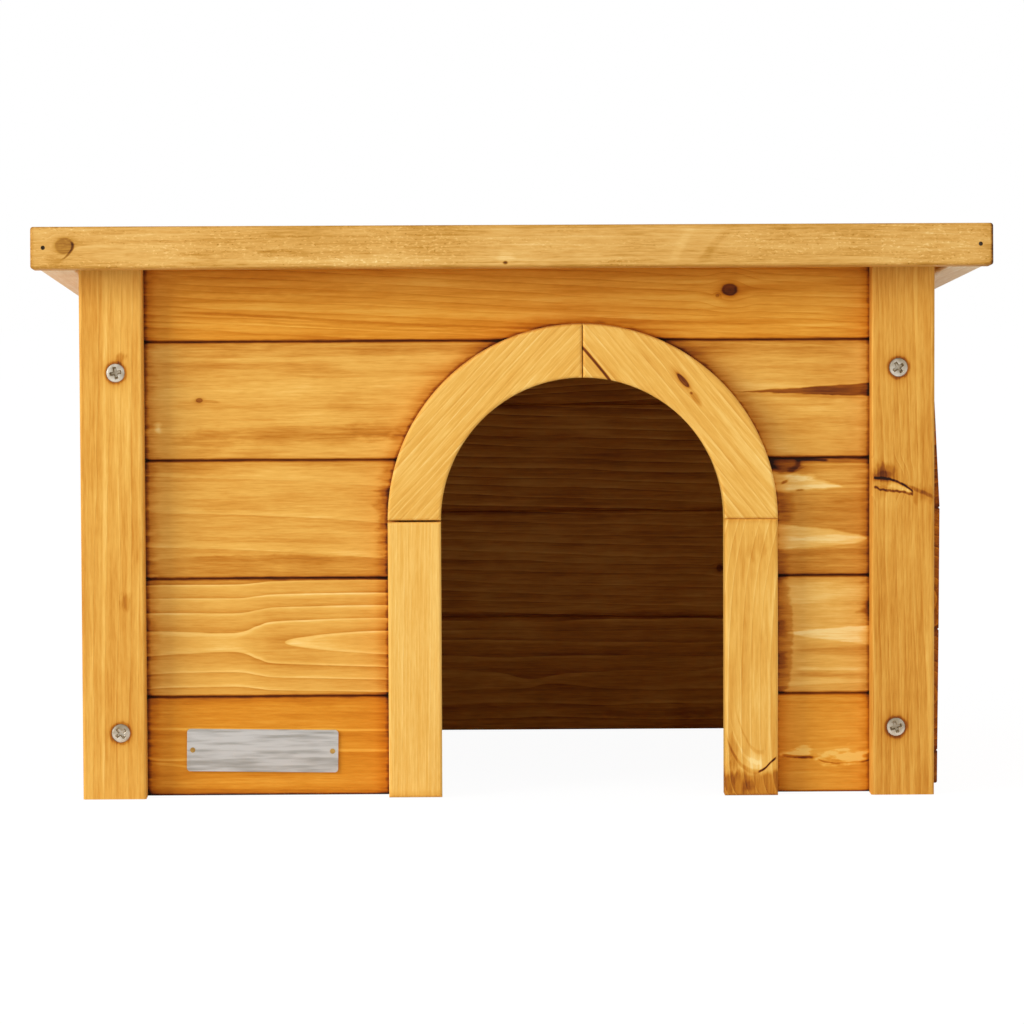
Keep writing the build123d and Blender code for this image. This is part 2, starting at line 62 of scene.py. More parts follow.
class Kind(Enum):
    """The shader nodes that the finishes are wired from, each with its fixed settings."""

    POSITION = ("ShaderNodeTexCoord", {})
    LIE = ("ShaderNodeMapping", {"vector_type": "TEXTURE"})
    SPLIT = ("ShaderNodeSeparateXYZ", {})
    JOIN = ("ShaderNodeCombineXYZ", {})
    STRETCH = ("ShaderNodeVectorMath", {"operation": "MULTIPLY"})
    STRETCH_AND_SHIFT = ("ShaderNodeVectorMath", {"operation": "MULTIPLY_ADD"})
    LENGTH = ("ShaderNodeVectorMath", {"operation": "LENGTH"})
    ADD = ("ShaderNodeMath", {"operation": "ADD"})
    SUBTRACT = ("ShaderNodeMath", {"operation": "SUBTRACT"})
    MULTIPLY = ("ShaderNodeMath", {"operation": "MULTIPLY"})
    MULTIPLY_ADD = ("ShaderNodeMath", {"operation": "MULTIPLY_ADD"})
    DIVIDE = ("ShaderNodeMath", {"operation": "DIVIDE"})
    POWER = ("ShaderNodeMath", {"operation": "POWER"})
    LARGER = ("ShaderNodeMath", {"operation": "MAXIMUM"})
    SIZE = ("ShaderNodeMath", {"operation": "ABSOLUTE"})
    FRACTION = ("ShaderNodeMath", {"operation": "FRACT"})
    NOISE = ("ShaderNodeTexNoise", {"noise_dimensions": "4D"})
    SCALE = ("ShaderNodeMapRange", {})
    EASE = ("ShaderNodeMapRange", {"interpolation_type": "SMOOTHSTEP"})
    CURVE = ("ShaderNodeFloatCurve", {})
    RAMP = ("ShaderNodeValToRGB", {})
    BLEND = ("ShaderNodeMix", {"data_type": "RGBA"})
    BUMP = ("ShaderNodeBump", {})
    SHADER = ("ShaderNodeBsdfPrincipled", {})
    RAY = ("ShaderNodeLightPath", {})
    GLOW = ("ShaderNodeEmission", {})
    SKY = ("ShaderNodeBackground", {})
    EITHER = ("ShaderNodeMixShader", {})
    SURFACE = ("ShaderNodeOutputMaterial", {})
    WORLD = ("ShaderNodeOutputWorld", {})


@dataclass(frozen=True)
class Wiring:
    """A node tree that is being wired."""

    tree: bpy.types.NodeTree

    def add(self, kind: Kind, *feeds: Feed, out: int = 0, **settings: object) -> Socket | None:
        """Adds one node.

        Args:
            kind: which node.
            feeds: what goes into its inputs, in order: a socket to link, a value, or None to leave it.
            out: which of its outputs to return.
            settings: more settings of the node.

        Returns:
            The output, or None for a node that has none.
        """
        node = self.tree.nodes.new(kind.value[0])
        for name, value in (kind.value[1] | settings).items():
            setattr(node, name, value)
        for socket, feed in zip(node.inputs, feeds):
            if isinstance(feed, bpy.types.NodeSocket):
                self.tree.links.new(feed, socket)
            elif feed is not None:
                socket.default_value = feed
        return node.outputs[out] if node.outputs else None


def linear(hex_colour: str) -> tuple[float, float, float, float]:
    """Turns an sRGB hex colour into the linear one that a shader takes."""
    parts = [int(hex_colour[i : i + 2], 16) / 255 for i in (1, 3, 5)]
    light = [p / 12.92 if p <= 0.04045 else ((p + 0.055) / 1.055) ** 2.4 for p in parts]
    return (*light, 1.0)


def new_material(name: str) -> tuple[bpy.types.Material, Wiring]:
    """Makes an empty material.

    Args:
        name: the material's name.

    Returns:
        The material and the wiring of its node tree.
    """
    material = bpy.data.materials.new(name)
    material.use_nodes = True
    material.node_tree.nodes.clear()
    return material, Wiring(material.node_tree)


class Stain(Enum):
    """Wood stains: the colour of the wood at each depth of tone, from 0, darkest, to 1, palest."""

    AMBER = (
        (0.00, "#260c00"), (0.18, "#6b2f04"), (0.34, "#9b540c"), (0.50, "#c27b1e"),
        (0.64, "#d9993a"), (0.78, "#e9b150"), (0.90, "#f5c66a"), (1.00, "#fddc90"),
    )
    ORANGE = (
        (0.00, "#260c00"), (0.18, "#733202"), (0.34, "#a45604"), (0.50, "#c8760a"),
        (0.64, "#da8c1e"), (0.78, "#eaa234"), (0.90, "#f3b548"), (1.00, "#fac964"),
    )
    HONEY = (
        (0.00, "#281203"), (0.18, "#66370c"), (0.34, "#97601b"), (0.50, "#bf8832"),
        (0.64, "#d8a352"), (0.78, "#e5b666"), (0.90, "#f1c97e"), (1.00, "#f9de9e"),
    )
    BARE = (
        (0.00, "#5a4228"), (0.34, "#c8a878"), (0.50, "#dcc090"), (0.64, "#e8d0a4"),
        (0.78, "#f0dcb4"), (0.90, "#f6e6c6"), (1.00, "#fbf0da"),
    )

    def wire(self, wiring: Wiring, tone: Socket) -> Socket:
        """The stain's colour at a tone."""
        colour = wiring.add(Kind.RAMP, tone)
        stops = colour.node.color_ramp.elements
        stops[0].position, stops[-1].position = self.value[0][0], self.value[-1][0]
        for place, _ in self.value[1:-1]:
            stops.new(place)
        for stop, (_, hex_colour) in zip(stops, self.value):
            stop.color = linear(hex_colour)
        return colour


@dataclass(frozen=True)
class Course:
    """A smooth line through a few points, as (place, value)."""

    points: Points

    def wire(self, wiring: Wiring, place: Feed) -> Socket:
        """The line's value at a place."""
        values = [value for _, value in self.points]
        low, high = min(values), max(values)
        start, end = self.points[0][0], self.points[-1][0]
        share = wiring.add(Kind.SCALE, place, start, end, 0.0, 1.0)
        line = wiring.add(Kind.CURVE, 1.0, share)
        mapping = line.node.mapping
        knots = mapping.curves[0].points
        for _ in self.points[2:]:
            knots.new(0.5, 0.5)
        for knot, (at, value) in zip(knots, self.points):
            knot.location = ((at - start) / (end - start), (value - low) / max(high - low, 1e-6))
        mapping.update()
        return wiring.add(Kind.SCALE, line, 0.0, 1.0, low, high)


def follow(wiring: Wiring, line: Points | float, place: Socket) -> Feed:
    """The value at a place of a line that may be level, and is then a plain number."""
    return Course(line).wire(wiring, place) if isinstance(line, tuple) else line


@dataclass(frozen=True)
class Lie:
    """How a board lies: the way its grain runs, the way across its face, and a point of the face."""

    along: Vector
    across: Vector
    origin: Vector

    def wire(self, wiring: Wiring) -> Socket:
        """The place on the board in millimetres: along, deep and across."""
        deep = self.across.cross(self.along)
        turn = Matrix((self.along, deep, self.across)).transposed().to_euler()
        position = wiring.add(Kind.POSITION, out=3)
        return wiring.add(Kind.LIE, position, self.origin, turn, (MM, MM, MM))

    def spot(self, x: float, z: float) -> tuple[float, float]:
        """The (along, across) of a spot on an upright face, from its x and z in millimetres."""
        there = Vector((x, 0.0, z)) - self.origin / MM
        return there.dot(self.along), there.dot(self.across)


@dataclass(frozen=True)
class Place:
    """Where a point is on its board, in millimetres, and a noise for ragged edges."""

    vector: Socket
    along: Socket
    deep: Socket
    across: Socket
    ragged: Socket


class Mark:
    """Something on a board that changes its grain or its tone."""

    def bend(self, wiring: Wiring, place: Place, across: Socket) -> Socket:
        """Leaves the grain as it runs."""
        return across

    def wire(self, wiring: Wiring, place: Place) -> Socket:
        """What the mark adds to the board's tone."""
        raise NotImplementedError


@dataclass(frozen=True)
class Knot(Mark):
    """A branch that was cut through: a dark rim, a brown core and a halo, with the grain led round it."""

    along: float
    across: float
    long: float
    wide: float
    dark: float = 0.5
    pull: float = 0.8
    reach: float = 3.5
    cut: Course = Course(
        ((0.0, 1.0), (0.2, 0.92), (0.3, 1.0), (0.38, 0.55), (0.5, 0.25), (0.75, 0.08), (1.0, 0.0))
    )

    def distance(self, wiring: Wiring, place: Place) -> Socket:
        """How far a point is from the knot's middle, in radii of the knot."""
        stretch = (1 / self.long, 0.0, 1 / self.wide)
        shift = (-self.along / self.long, 0.0, -self.across / self.wide)
        spread = wiring.add(Kind.STRETCH_AND_SHIFT, place.vector, stretch, shift)
        return wiring.add(Kind.LENGTH, spread, out=1)

    def bend(self, wiring: Wiring, place: Place, across: Socket) -> Socket:
        """Leads the grain round the knot, by drawing what is sampled near it towards its middle."""
        near = wiring.add(Kind.EASE, self.distance(wiring, place), 0.7, self.reach, -self.pull, 0.0)
        off = wiring.add(Kind.SUBTRACT, across, self.across)
        return wiring.add(Kind.MULTIPLY_ADD, near, off, across)

    def wire(self, wiring: Wiring, place: Place) -> Socket:
        """Darkens the core, most of all its rim."""
        distance = wiring.add(Kind.MULTIPLY_ADD, place.ragged, 0.5, self.distance(wiring, place))
        third = wiring.add(Kind.DIVIDE, distance, 3.0)
        return wiring.add(Kind.MULTIPLY, self.cut.wire(wiring, third), -self.dark)


@dataclass(frozen=True)
class Stroke(Mark):
    """A pale or dark line through a few points, such as a streak or a crack."""

    points: Points
    width: float
    tone: float
    fade: float = 8.0
    wobble: float = 0.8
    cross_grain: bool = False

    def wire(self, wiring: Wiring, place: Place) -> Socket:
        """Adds the tone on the line, less towards its sides and its ends."""
        run, side = (place.across, place.along) if self.cross_grain else (place.along, place.across)
        shaken = wiring.add(Kind.MULTIPLY_ADD, place.ragged, self.wobble, side)
        off = wiring.add(Kind.SUBTRACT, shaken, Course(self.points).wire(wiring, run))
        line = wiring.add(
            Kind.EASE, wiring.add(Kind.SIZE, off), 0.25 * self.width, self.width, self.tone, 0.0
        )
        start, end = self.points[0][0], self.points[-1][0]
        begun = wiring.add(Kind.EASE, run, start, start + self.fade, 0.0, 1.0)
        left = wiring.add(Kind.EASE, run, end - self.fade, end, 1.0, 0.0)
        return wiring.add(Kind.MULTIPLY, line, wiring.add(Kind.MULTIPLY, begun, left))


@dataclass(frozen=True)
class Tongue(Mark):
    """A tongue of one year's wood, which the plane cut at a slant: it narrows from its root to its tip."""

    root: tuple[float, float]
    tip: tuple[float, float]
    half: float
    tone: float
    blunt: float = 0.6
    edge: float = 0.7

    def wire(self, wiring: Wiring, place: Place) -> Socket:
        """Adds the tone inside the tongue."""
        share = wiring.add(Kind.SCALE, place.along, self.tip[0], self.root[0], 0.0, 1.0)
        middle = wiring.add(Kind.SCALE, share, 0.0, 1.0, self.tip[1], self.root[1])
        half = wiring.add(Kind.MULTIPLY, wiring.add(Kind.POWER, share, self.blunt), self.half)
        shaken = wiring.add(Kind.MULTIPLY_ADD, place.ragged, 1.6, place.across)
        off = wiring.add(Kind.SIZE, wiring.add(Kind.SUBTRACT, shaken, middle))
        inside = wiring.add(Kind.SUBTRACT, half, off)
        return wiring.add(Kind.EASE, inside, -0.2 * self.edge, self.edge, 0.0, self.tone)


@dataclass(frozen=True)
class Blotch(Mark):
    """A patch that took more or less stain, with ragged edges."""

    along: float
    across: float
    long: float
    wide: float
    tone: float
    ragged: float = 1.2
    solid: float = 0.3

    def wire(self, wiring: Wiring, place: Place) -> Socket:
        """Adds the tone, fading from the patch's solid part outwards."""
        stretch = (1 / self.long, 0.0, 1 / self.wide)
        shift = (-self.along / self.long, 0.0, -self.across / self.wide)
        spread = wiring.add(Kind.STRETCH_AND_SHIFT, place.vector, stretch, shift)
        distance = wiring.add(Kind.LENGTH, spread, out=1)
        uneven = wiring.add(Kind.MULTIPLY_ADD, place.ragged, self.ragged, distance)
        return wiring.add(Kind.EASE, uneven, self.solid, 1.0, self.tone, 0.0)


@dataclass(frozen=True)
class PoolAndShade(Mark):
    """Darkening against a straight neighbour, from a line towards one side of it: partly pooled stain, partly
    painted shade that the neighbour casts on the board.
    """

    at: float
    reach: float
    tone: float
    at_end: bool = False
    uneven: float = 1.5

    def wire(self, wiring: Wiring, place: Place) -> Socket:
        """Adds the tone at the line, and less away from it."""
        side = place.along if self.at_end else place.across
        shaken = wiring.add(Kind.MULTIPLY_ADD, place.ragged, self.uneven, side)
        return wiring.add(Kind.EASE, shaken, self.at, self.at + self.reach, self.tone, 0.0)


@dataclass(frozen=True)
class DoorPoolAndShade(Mark):
    """Darkening against the outside of the door's trim: partly pooled stain, partly painted shade from the
    trim, which stands proud of the planks.
    """

    middle: float
    spring: float
    radius: float
    reach: float = 6.0
    tone: float = -0.2

    def wire(self, wiring: Wiring, place: Place) -> Socket:
        """Adds the tone beside the jambs and round the arch."""
        side = wiring.add(Kind.SUBTRACT, place.along, self.middle)
        rise = wiring.add(Kind.LARGER, wiring.add(Kind.SUBTRACT, place.across, self.spring), 0.0)
        radius = wiring.add(Kind.LENGTH, wiring.add(Kind.JOIN, side, rise, 0.0), out=1)
        shaken = wiring.add(Kind.MULTIPLY_ADD, place.ragged, 3.0, radius)
        return wiring.add(Kind.EASE, shaken, self.radius, self.radius + self.reach, self.tone, 0.0)


# A knot whose core is paler than its bark
RINGED_KNOT = Course(
    ((0.0, 0.62), (0.18, 0.5), (0.27, 0.8), (0.33, 1.0), (0.39, 0.5), (0.5, 0.22), (1.0, 0.0))
)
# The dark edge of a hole that a screw head was drawn into
SCREW_STAIN = Course(((0.0, 1.0), (0.32, 1.0), (0.4, 0.35), (0.5, 0.1), (1.0, 0.0)))
# Late wood is dense and takes little stain, so outwards each year goes from dark to pale and drops back
STAINED_YEAR = Course(
    ((0.0, 0.0), (0.05, 0.08), (0.3, 0.38), (0.66, 0.5), (0.84, 0.72), (0.94, 1.0), (0.975, 0.92), (1.0, 0.0))
)
# The old wood of the darkest boards shows its late wood dark
DARK_YEAR = Course(((0.0, 0.75), (0.3, 0.7), (0.6, 0.55), (0.85, 0.2), (0.93, 0.0), (1.0, 0.75)))


@dataclass(frozen=True)
class Figure:
    """How a board was cut from its log, which sets the course of its yearly rings."""

    heart: Points | float = -60.0
    depth: Points | float = 15.0
    year: float = 5.0
    sway: float = 1.5
    profile: Course = STAINED_YEAR
    uneven: float = 1.2


@dataclass(frozen=True)
class BoardLook:
    """How one board looks.

    tone is its mean tone, and the shares below it say how much each pattern changes that.
    """

    stain: Stain = Stain.AMBER
    tone: float = 0.66
    figure: Figure = Figure()
    rings: float = 0.2
    fibre: float = 0.13
    grit: float = 0.07
    streaks: float = 0.16
    mottle: float = 0.13
    pits: float = 0.0
    bare_below: float | None = None
    marks: tuple[Mark, ...] = ()


@dataclass(frozen=True)
class StainedSoftwood:
    """Planed spruce or pine under a thin satin wood stain.

    The eye sees the year rings, the finer fibre, blotches where the stain went in unevenly, and a soft sheen.
    """

    name: str
    lie: Lie
    look: BoardLook
    seed: float
    gloss: float = 0.22
    refraction: float = 1.45
    relief: float = 0.25

    def grain(
        self, wiring: Wiring, place: Place, long: float, wide: float, turn: float, detail: float
    ) -> Socket:
        """Noise drawn out along the grain.

        Args:
            wiring: the material's wiring.
            place: where a point is on the board.
            long: the noise's grain size along the board, in millimetres.
            wide: the same across it and into it.
            turn: which of the board's own noises this is.
            detail: how many finer layers it has.

        Returns:
            The noise, from 0 to 1.
        """
        stretched = wiring.add(Kind.STRETCH, place.vector, (1 / long, 1 / wide, 1 / wide))
        return wiring.add(Kind.NOISE, stretched, self.seed + turn, 1.0, detail)

    def place(self, wiring: Wiring) -> Place:
        """Where a point is on the board."""
        vector = self.lie.wire(wiring)
        along = wiring.add(Kind.SPLIT, vector)
        outputs = along.node.outputs
        stretched = wiring.add(Kind.STRETCH, vector, (1 / 7.0, 1 / 2.5, 1 / 2.5))
        noise = wiring.add(Kind.NOISE, stretched, self.seed + 9.1, 1.0, 3.0)
        ragged = wiring.add(Kind.SUBTRACT, noise, 0.5)
        return Place(vector, outputs[0], outputs[1], outputs[2], ragged)

    def rings(self, wiring: Wiring, place: Place) -> Socket:
        """The year rings, from 0, dark, to 1, pale."""
        figure = self.look.figure
        across = place.across
        for mark in self.look.marks:
            across = mark.bend(wiring, place, across)
        rise = wiring.add(Kind.SUBTRACT, across, follow(wiring, figure.heart, place.along))
        depth = wiring.add(Kind.SUBTRACT, place.deep, follow(wiring, figure.depth, place.along))
        radius = wiring.add(Kind.LENGTH, wiring.add(Kind.JOIN, rise, depth, 0.0), out=1)
        sway = wiring.add(Kind.SUBTRACT, self.grain(wiring, place, 75.0, 16.0, 1.7, 2.0), 0.5)
        swayed = wiring.add(Kind.MULTIPLY_ADD, sway, 3 * figure.sway, radius)
        years = wiring.add(Kind.DIVIDE, swayed, figure.year)
        counted = wiring.add(Kind.JOIN, years, 0.0, 0.0)
        weather = wiring.add(Kind.NOISE, counted, self.seed + 2.3, 0.8, 1.0)
        shift = wiring.add(Kind.SUBTRACT, weather, 0.5)
        uneven = wiring.add(Kind.MULTIPLY_ADD, shift, figure.uneven, years)
        return figure.profile.wire(wiring, wiring.add(Kind.FRACTION, uneven))

    def tone(self, wiring: Wiring, place: Place, rings: Socket, fibre: Socket) -> Socket:
        """The depth of the stain over the board."""
        look = self.look
        patches = self.grain(wiring, place, 60.0, 11.0, 3.1, 1.0)
        strength = wiring.add(Kind.SCALE, patches, 0.3, 0.7, 0.45, 1.55)
        figure = wiring.add(Kind.MULTIPLY, wiring.add(Kind.SUBTRACT, rings, 0.48), strength)
        total = wiring.add(Kind.MULTIPLY_ADD, figure, look.rings, look.tone)
        layers = (
            (fibre, look.fibre),
            (self.grain(wiring, place, 5.0, 0.45, 5.9, 2.0), look.grit),
            (self.grain(wiring, place, 130.0, 3.4, 4.9, 3.0), look.streaks),
            (self.grain(wiring, place, 30.0, 13.0, 6.3, 3.0), look.mottle),
        )
        for noise, share in layers:
            centred = wiring.add(Kind.SUBTRACT, noise, 0.5)
            total = wiring.add(Kind.MULTIPLY_ADD, centred, 2.5 * share, total)
        if look.pits:
            glints = self.grain(wiring, place, 1.7, 0.8, 7.7, 1.0)
            areas = self.grain(wiring, place, 60.0, 12.0, 8.3, 1.0)
            hollows = self.grain(wiring, place, 1.5, 0.9, 8.9, 1.0)
            where = wiring.add(Kind.EASE, areas, 0.4, 0.62, 0.0, 1.0)
            pale = wiring.add(Kind.EASE, glints, 0.56, 0.68, 0.0, look.pits)
            dark = wiring.add(Kind.EASE, hollows, 0.62, 0.72, 0.0, -look.pits)
            for pits in (pale, dark):
                total = wiring.add(Kind.MULTIPLY_ADD, pits, where, total)
        for mark in look.marks:
            total = wiring.add(Kind.ADD, total, mark.wire(wiring, place))
        return total

    def material(self) -> bpy.types.Material:
        """Wires the whole finish."""
        material, wiring = new_material(self.name)
        place = self.place(wiring)
        rings = self.rings(wiring, place)
        fibre = self.grain(wiring, place, 16.0, 0.9, 5.3, 3.0)
        tone = self.tone(wiring, place, rings, fibre)
        colour = self.look.stain.wire(wiring, tone)
        if self.look.bare_below is not None:
            bare = Stain.BARE.wire(wiring, tone)
            line = wiring.add(Kind.MULTIPLY_ADD, place.ragged, 0.5, place.across)
            edge = self.look.bare_below
            covered = wiring.add(Kind.EASE, line, edge, edge + 0.6, 0.0, 1.0)
            blend = wiring.add(Kind.BLEND, covered, out=2)
            wiring.tree.links.new(bare, blend.node.inputs[6])
            wiring.tree.links.new(colour, blend.node.inputs[7])
            colour = blend
        sheen = wiring.add(Kind.SCALE, tone, 0.2, 0.9, 0.66, 0.48)
        relief = wiring.add(Kind.MULTIPLY_ADD, rings, 0.7, fibre)
        normal = wiring.add(Kind.BUMP, 0.4, self.relief * MM, None, relief)
        shader = wiring.add(Kind.SHADER, colour, 0.0, sheen, self.refraction, None, normal)
        shader.node.inputs["Specular IOR Level"].default_value = self.gloss
        wiring.add(Kind.SURFACE, shader)
        return material


@dataclass(frozen=True)
class PlatedMetal:
    """Metal with a thin plating or a brushed skin: a soft mirror, dulled in streaks and spots."""

    name: str
    colour: str
    dull_colour: str
    roughness: tuple[float, float] = (0.25, 0.45)
    grit: tuple[float, float, float] = (0.6, 0.6, 0.6)
    relief: float = 0.02
    metallic: float = 1.0
    seed: float = 0.0

    def material(self) -> bpy.types.Material:
        """Wires the whole finish."""
        material, wiring = new_material(self.name)
        position = wiring.add(Kind.POSITION, out=3)
        stretched = wiring.add(Kind.STRETCH, position, tuple(1 / (size * MM) for size in self.grit))
        noise = wiring.add(Kind.NOISE, stretched, self.seed, 1.0, 4.0)
        cloud = wiring.add(Kind.NOISE, stretched, self.seed + 3.0, 0.15, 2.0)
        colour = wiring.add(Kind.BLEND, wiring.add(Kind.EASE, cloud, 0.35, 0.7, 0.0, 1.0), out=2)
        colour.node.inputs[6].default_value = linear(self.colour)
        colour.node.inputs[7].default_value = linear(self.dull_colour)
        rough = wiring.add(Kind.SCALE, noise, 0.3, 0.7, *self.roughness)
        normal = wiring.add(Kind.BUMP, 0.5, self.relief * MM, None, noise)
        shader = wiring.add(Kind.SHADER, colour, self.metallic, rough, None, None, normal)
        wiring.add(Kind.SURFACE, shader)
        return material


ZINC = PlatedMetal("zinc_plated_steel", "#f1e8d8", "#b09f82", (0.3, 0.46), (0.9, 0.9, 0.9), seed=1.0)
BRIGHT_ZINC = PlatedMetal("blue_zinc_plated_steel", "#d3d4d3", "#a9aaa8", (0.25, 0.45), seed=2.0)
DULL_STEEL = PlatedMetal("dull_nail_steel", "#6f665c", "#3a2d20", (0.45, 0.7), seed=3.0)
BRASS = PlatedMetal("brass_pin", "#d9ae62", "#a97e3c", (0.25, 0.4), seed=4.0)
# Brushed along its length, so its streaks are long and fine
ALUMINIUM = PlatedMetal(
    "brushed_aluminium", "#e0deda", "#b4b1aa", (0.26, 0.44), (3.0, 3.0, 0.25), 0.012, seed=5.0
)


def dress(material: bpy.types.Material, *names: str) -> None:
    """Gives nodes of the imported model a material."""
    for name in names:
        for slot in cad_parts[name].material_slots:
            slot.material = material
        log.info("%s: %s", name, material.name)


def stain_board(name: str, lie: Lie, look: BoardLook, seed: float) -> None:
    """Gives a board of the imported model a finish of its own."""
    dress(StainedSoftwood(f"stained_softwood_{name}", lie, look, seed).material(), name)


def box_mm(name: str) -> tuple[Vector, Vector]:
    """The lowest and highest corner of a node, in millimetres."""
    low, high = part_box(name)
    return low / MM, high / MM


def plain_figure(chance: random.Random, low: float, high: float, length: float) -> Figure:
    """A figure of its own for a board that the photograph doesn't show.

    Args:
        chance: where its differences come from.
        low: the board's lowest place across.
        high: its highest.
        length: the board's length.

    Returns:
        The figure of a board cut through the side of its log, or beside its heart.
    """
    half = length / 2
    if chance.random() < 0.45:
        heart = chance.uniform(low + 8, high - 8)
        depths = (chance.uniform(2, 8), chance.uniform(8, 18), chance.uniform(3, 22))
        depth = tuple(zip((-half, chance.uniform(-60, 60), half), depths))
        return Figure(heart, depth, chance.uniform(4.0, 6.5), 2.0)
    side = chance.choice((-1, 1))
    heart = chance.uniform(30, 80) * side + (high if side > 0 else low)
    slant = chance.uniform(-8, 8)
    course = ((-half, heart - slant), (half, heart + slant))
    return Figure(course, chance.uniform(0, 30), chance.uniform(2.6, 5.5), 1.5)


def plain_look(chance: random.Random, low: float, high: float, length: float, **more: object) -> BoardLook:
    """A look of its own for a board that the photograph doesn't show, with a knot on some."""
    marks = [PoolAndShade(low, 2.5, -0.16), PoolAndShade(high, -2.5, -0.16)]
    half = length / 2
    for _ in range(chance.choice((0, 0, 1, 1, 2))):
        size = chance.uniform(1.6, 4.2)
        spot = (chance.uniform(-half + 20, half - 20), chance.uniform(low + 8, high - 8))
        marks.append(Knot(*spot, size * chance.uniform(1.0, 1.6), size, chance.uniform(0.3, 0.5)))
    for _ in range(2):
        spot = (chance.uniform(-half, half), chance.uniform(low, high))
        marks.append(Blotch(*spot, chance.uniform(20, 45), chance.uniform(4, 9), chance.uniform(-0.1, 0.06)))
    settings = {
        "stain": chance.choice((Stain.AMBER, Stain.AMBER, Stain.ORANGE)),
        "tone": chance.uniform(0.58, 0.72),
        "figure": plain_figure(chance, low, high, length),
        "rings": chance.uniform(0.14, 0.26),
    }
    return BoardLook(marks=tuple(marks), **(settings | more))


X, Y, Z = Vector((1, 0, 0)), Vector((0, 1, 0)), Vector((0, 0, 1))
# How far a plank's tongue stands up, in millimetres
TONGUE = 3.0


@dataclass(frozen=True)
class Doorway:
    """The doorway's outline as the trim gives it, in millimetres."""

    middle: float
    spring: float
    outer: float

    @classmethod
    def measured(cls) -> "Doorway":
        """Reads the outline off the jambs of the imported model."""
        left_low, left_high = box_mm("left_jamb")
        right_low, right_high = box_mm("right_jamb")
        middle = (left_high.x + right_low.x) / 2
        return cls(middle, right_high.z, middle - left_low.x)


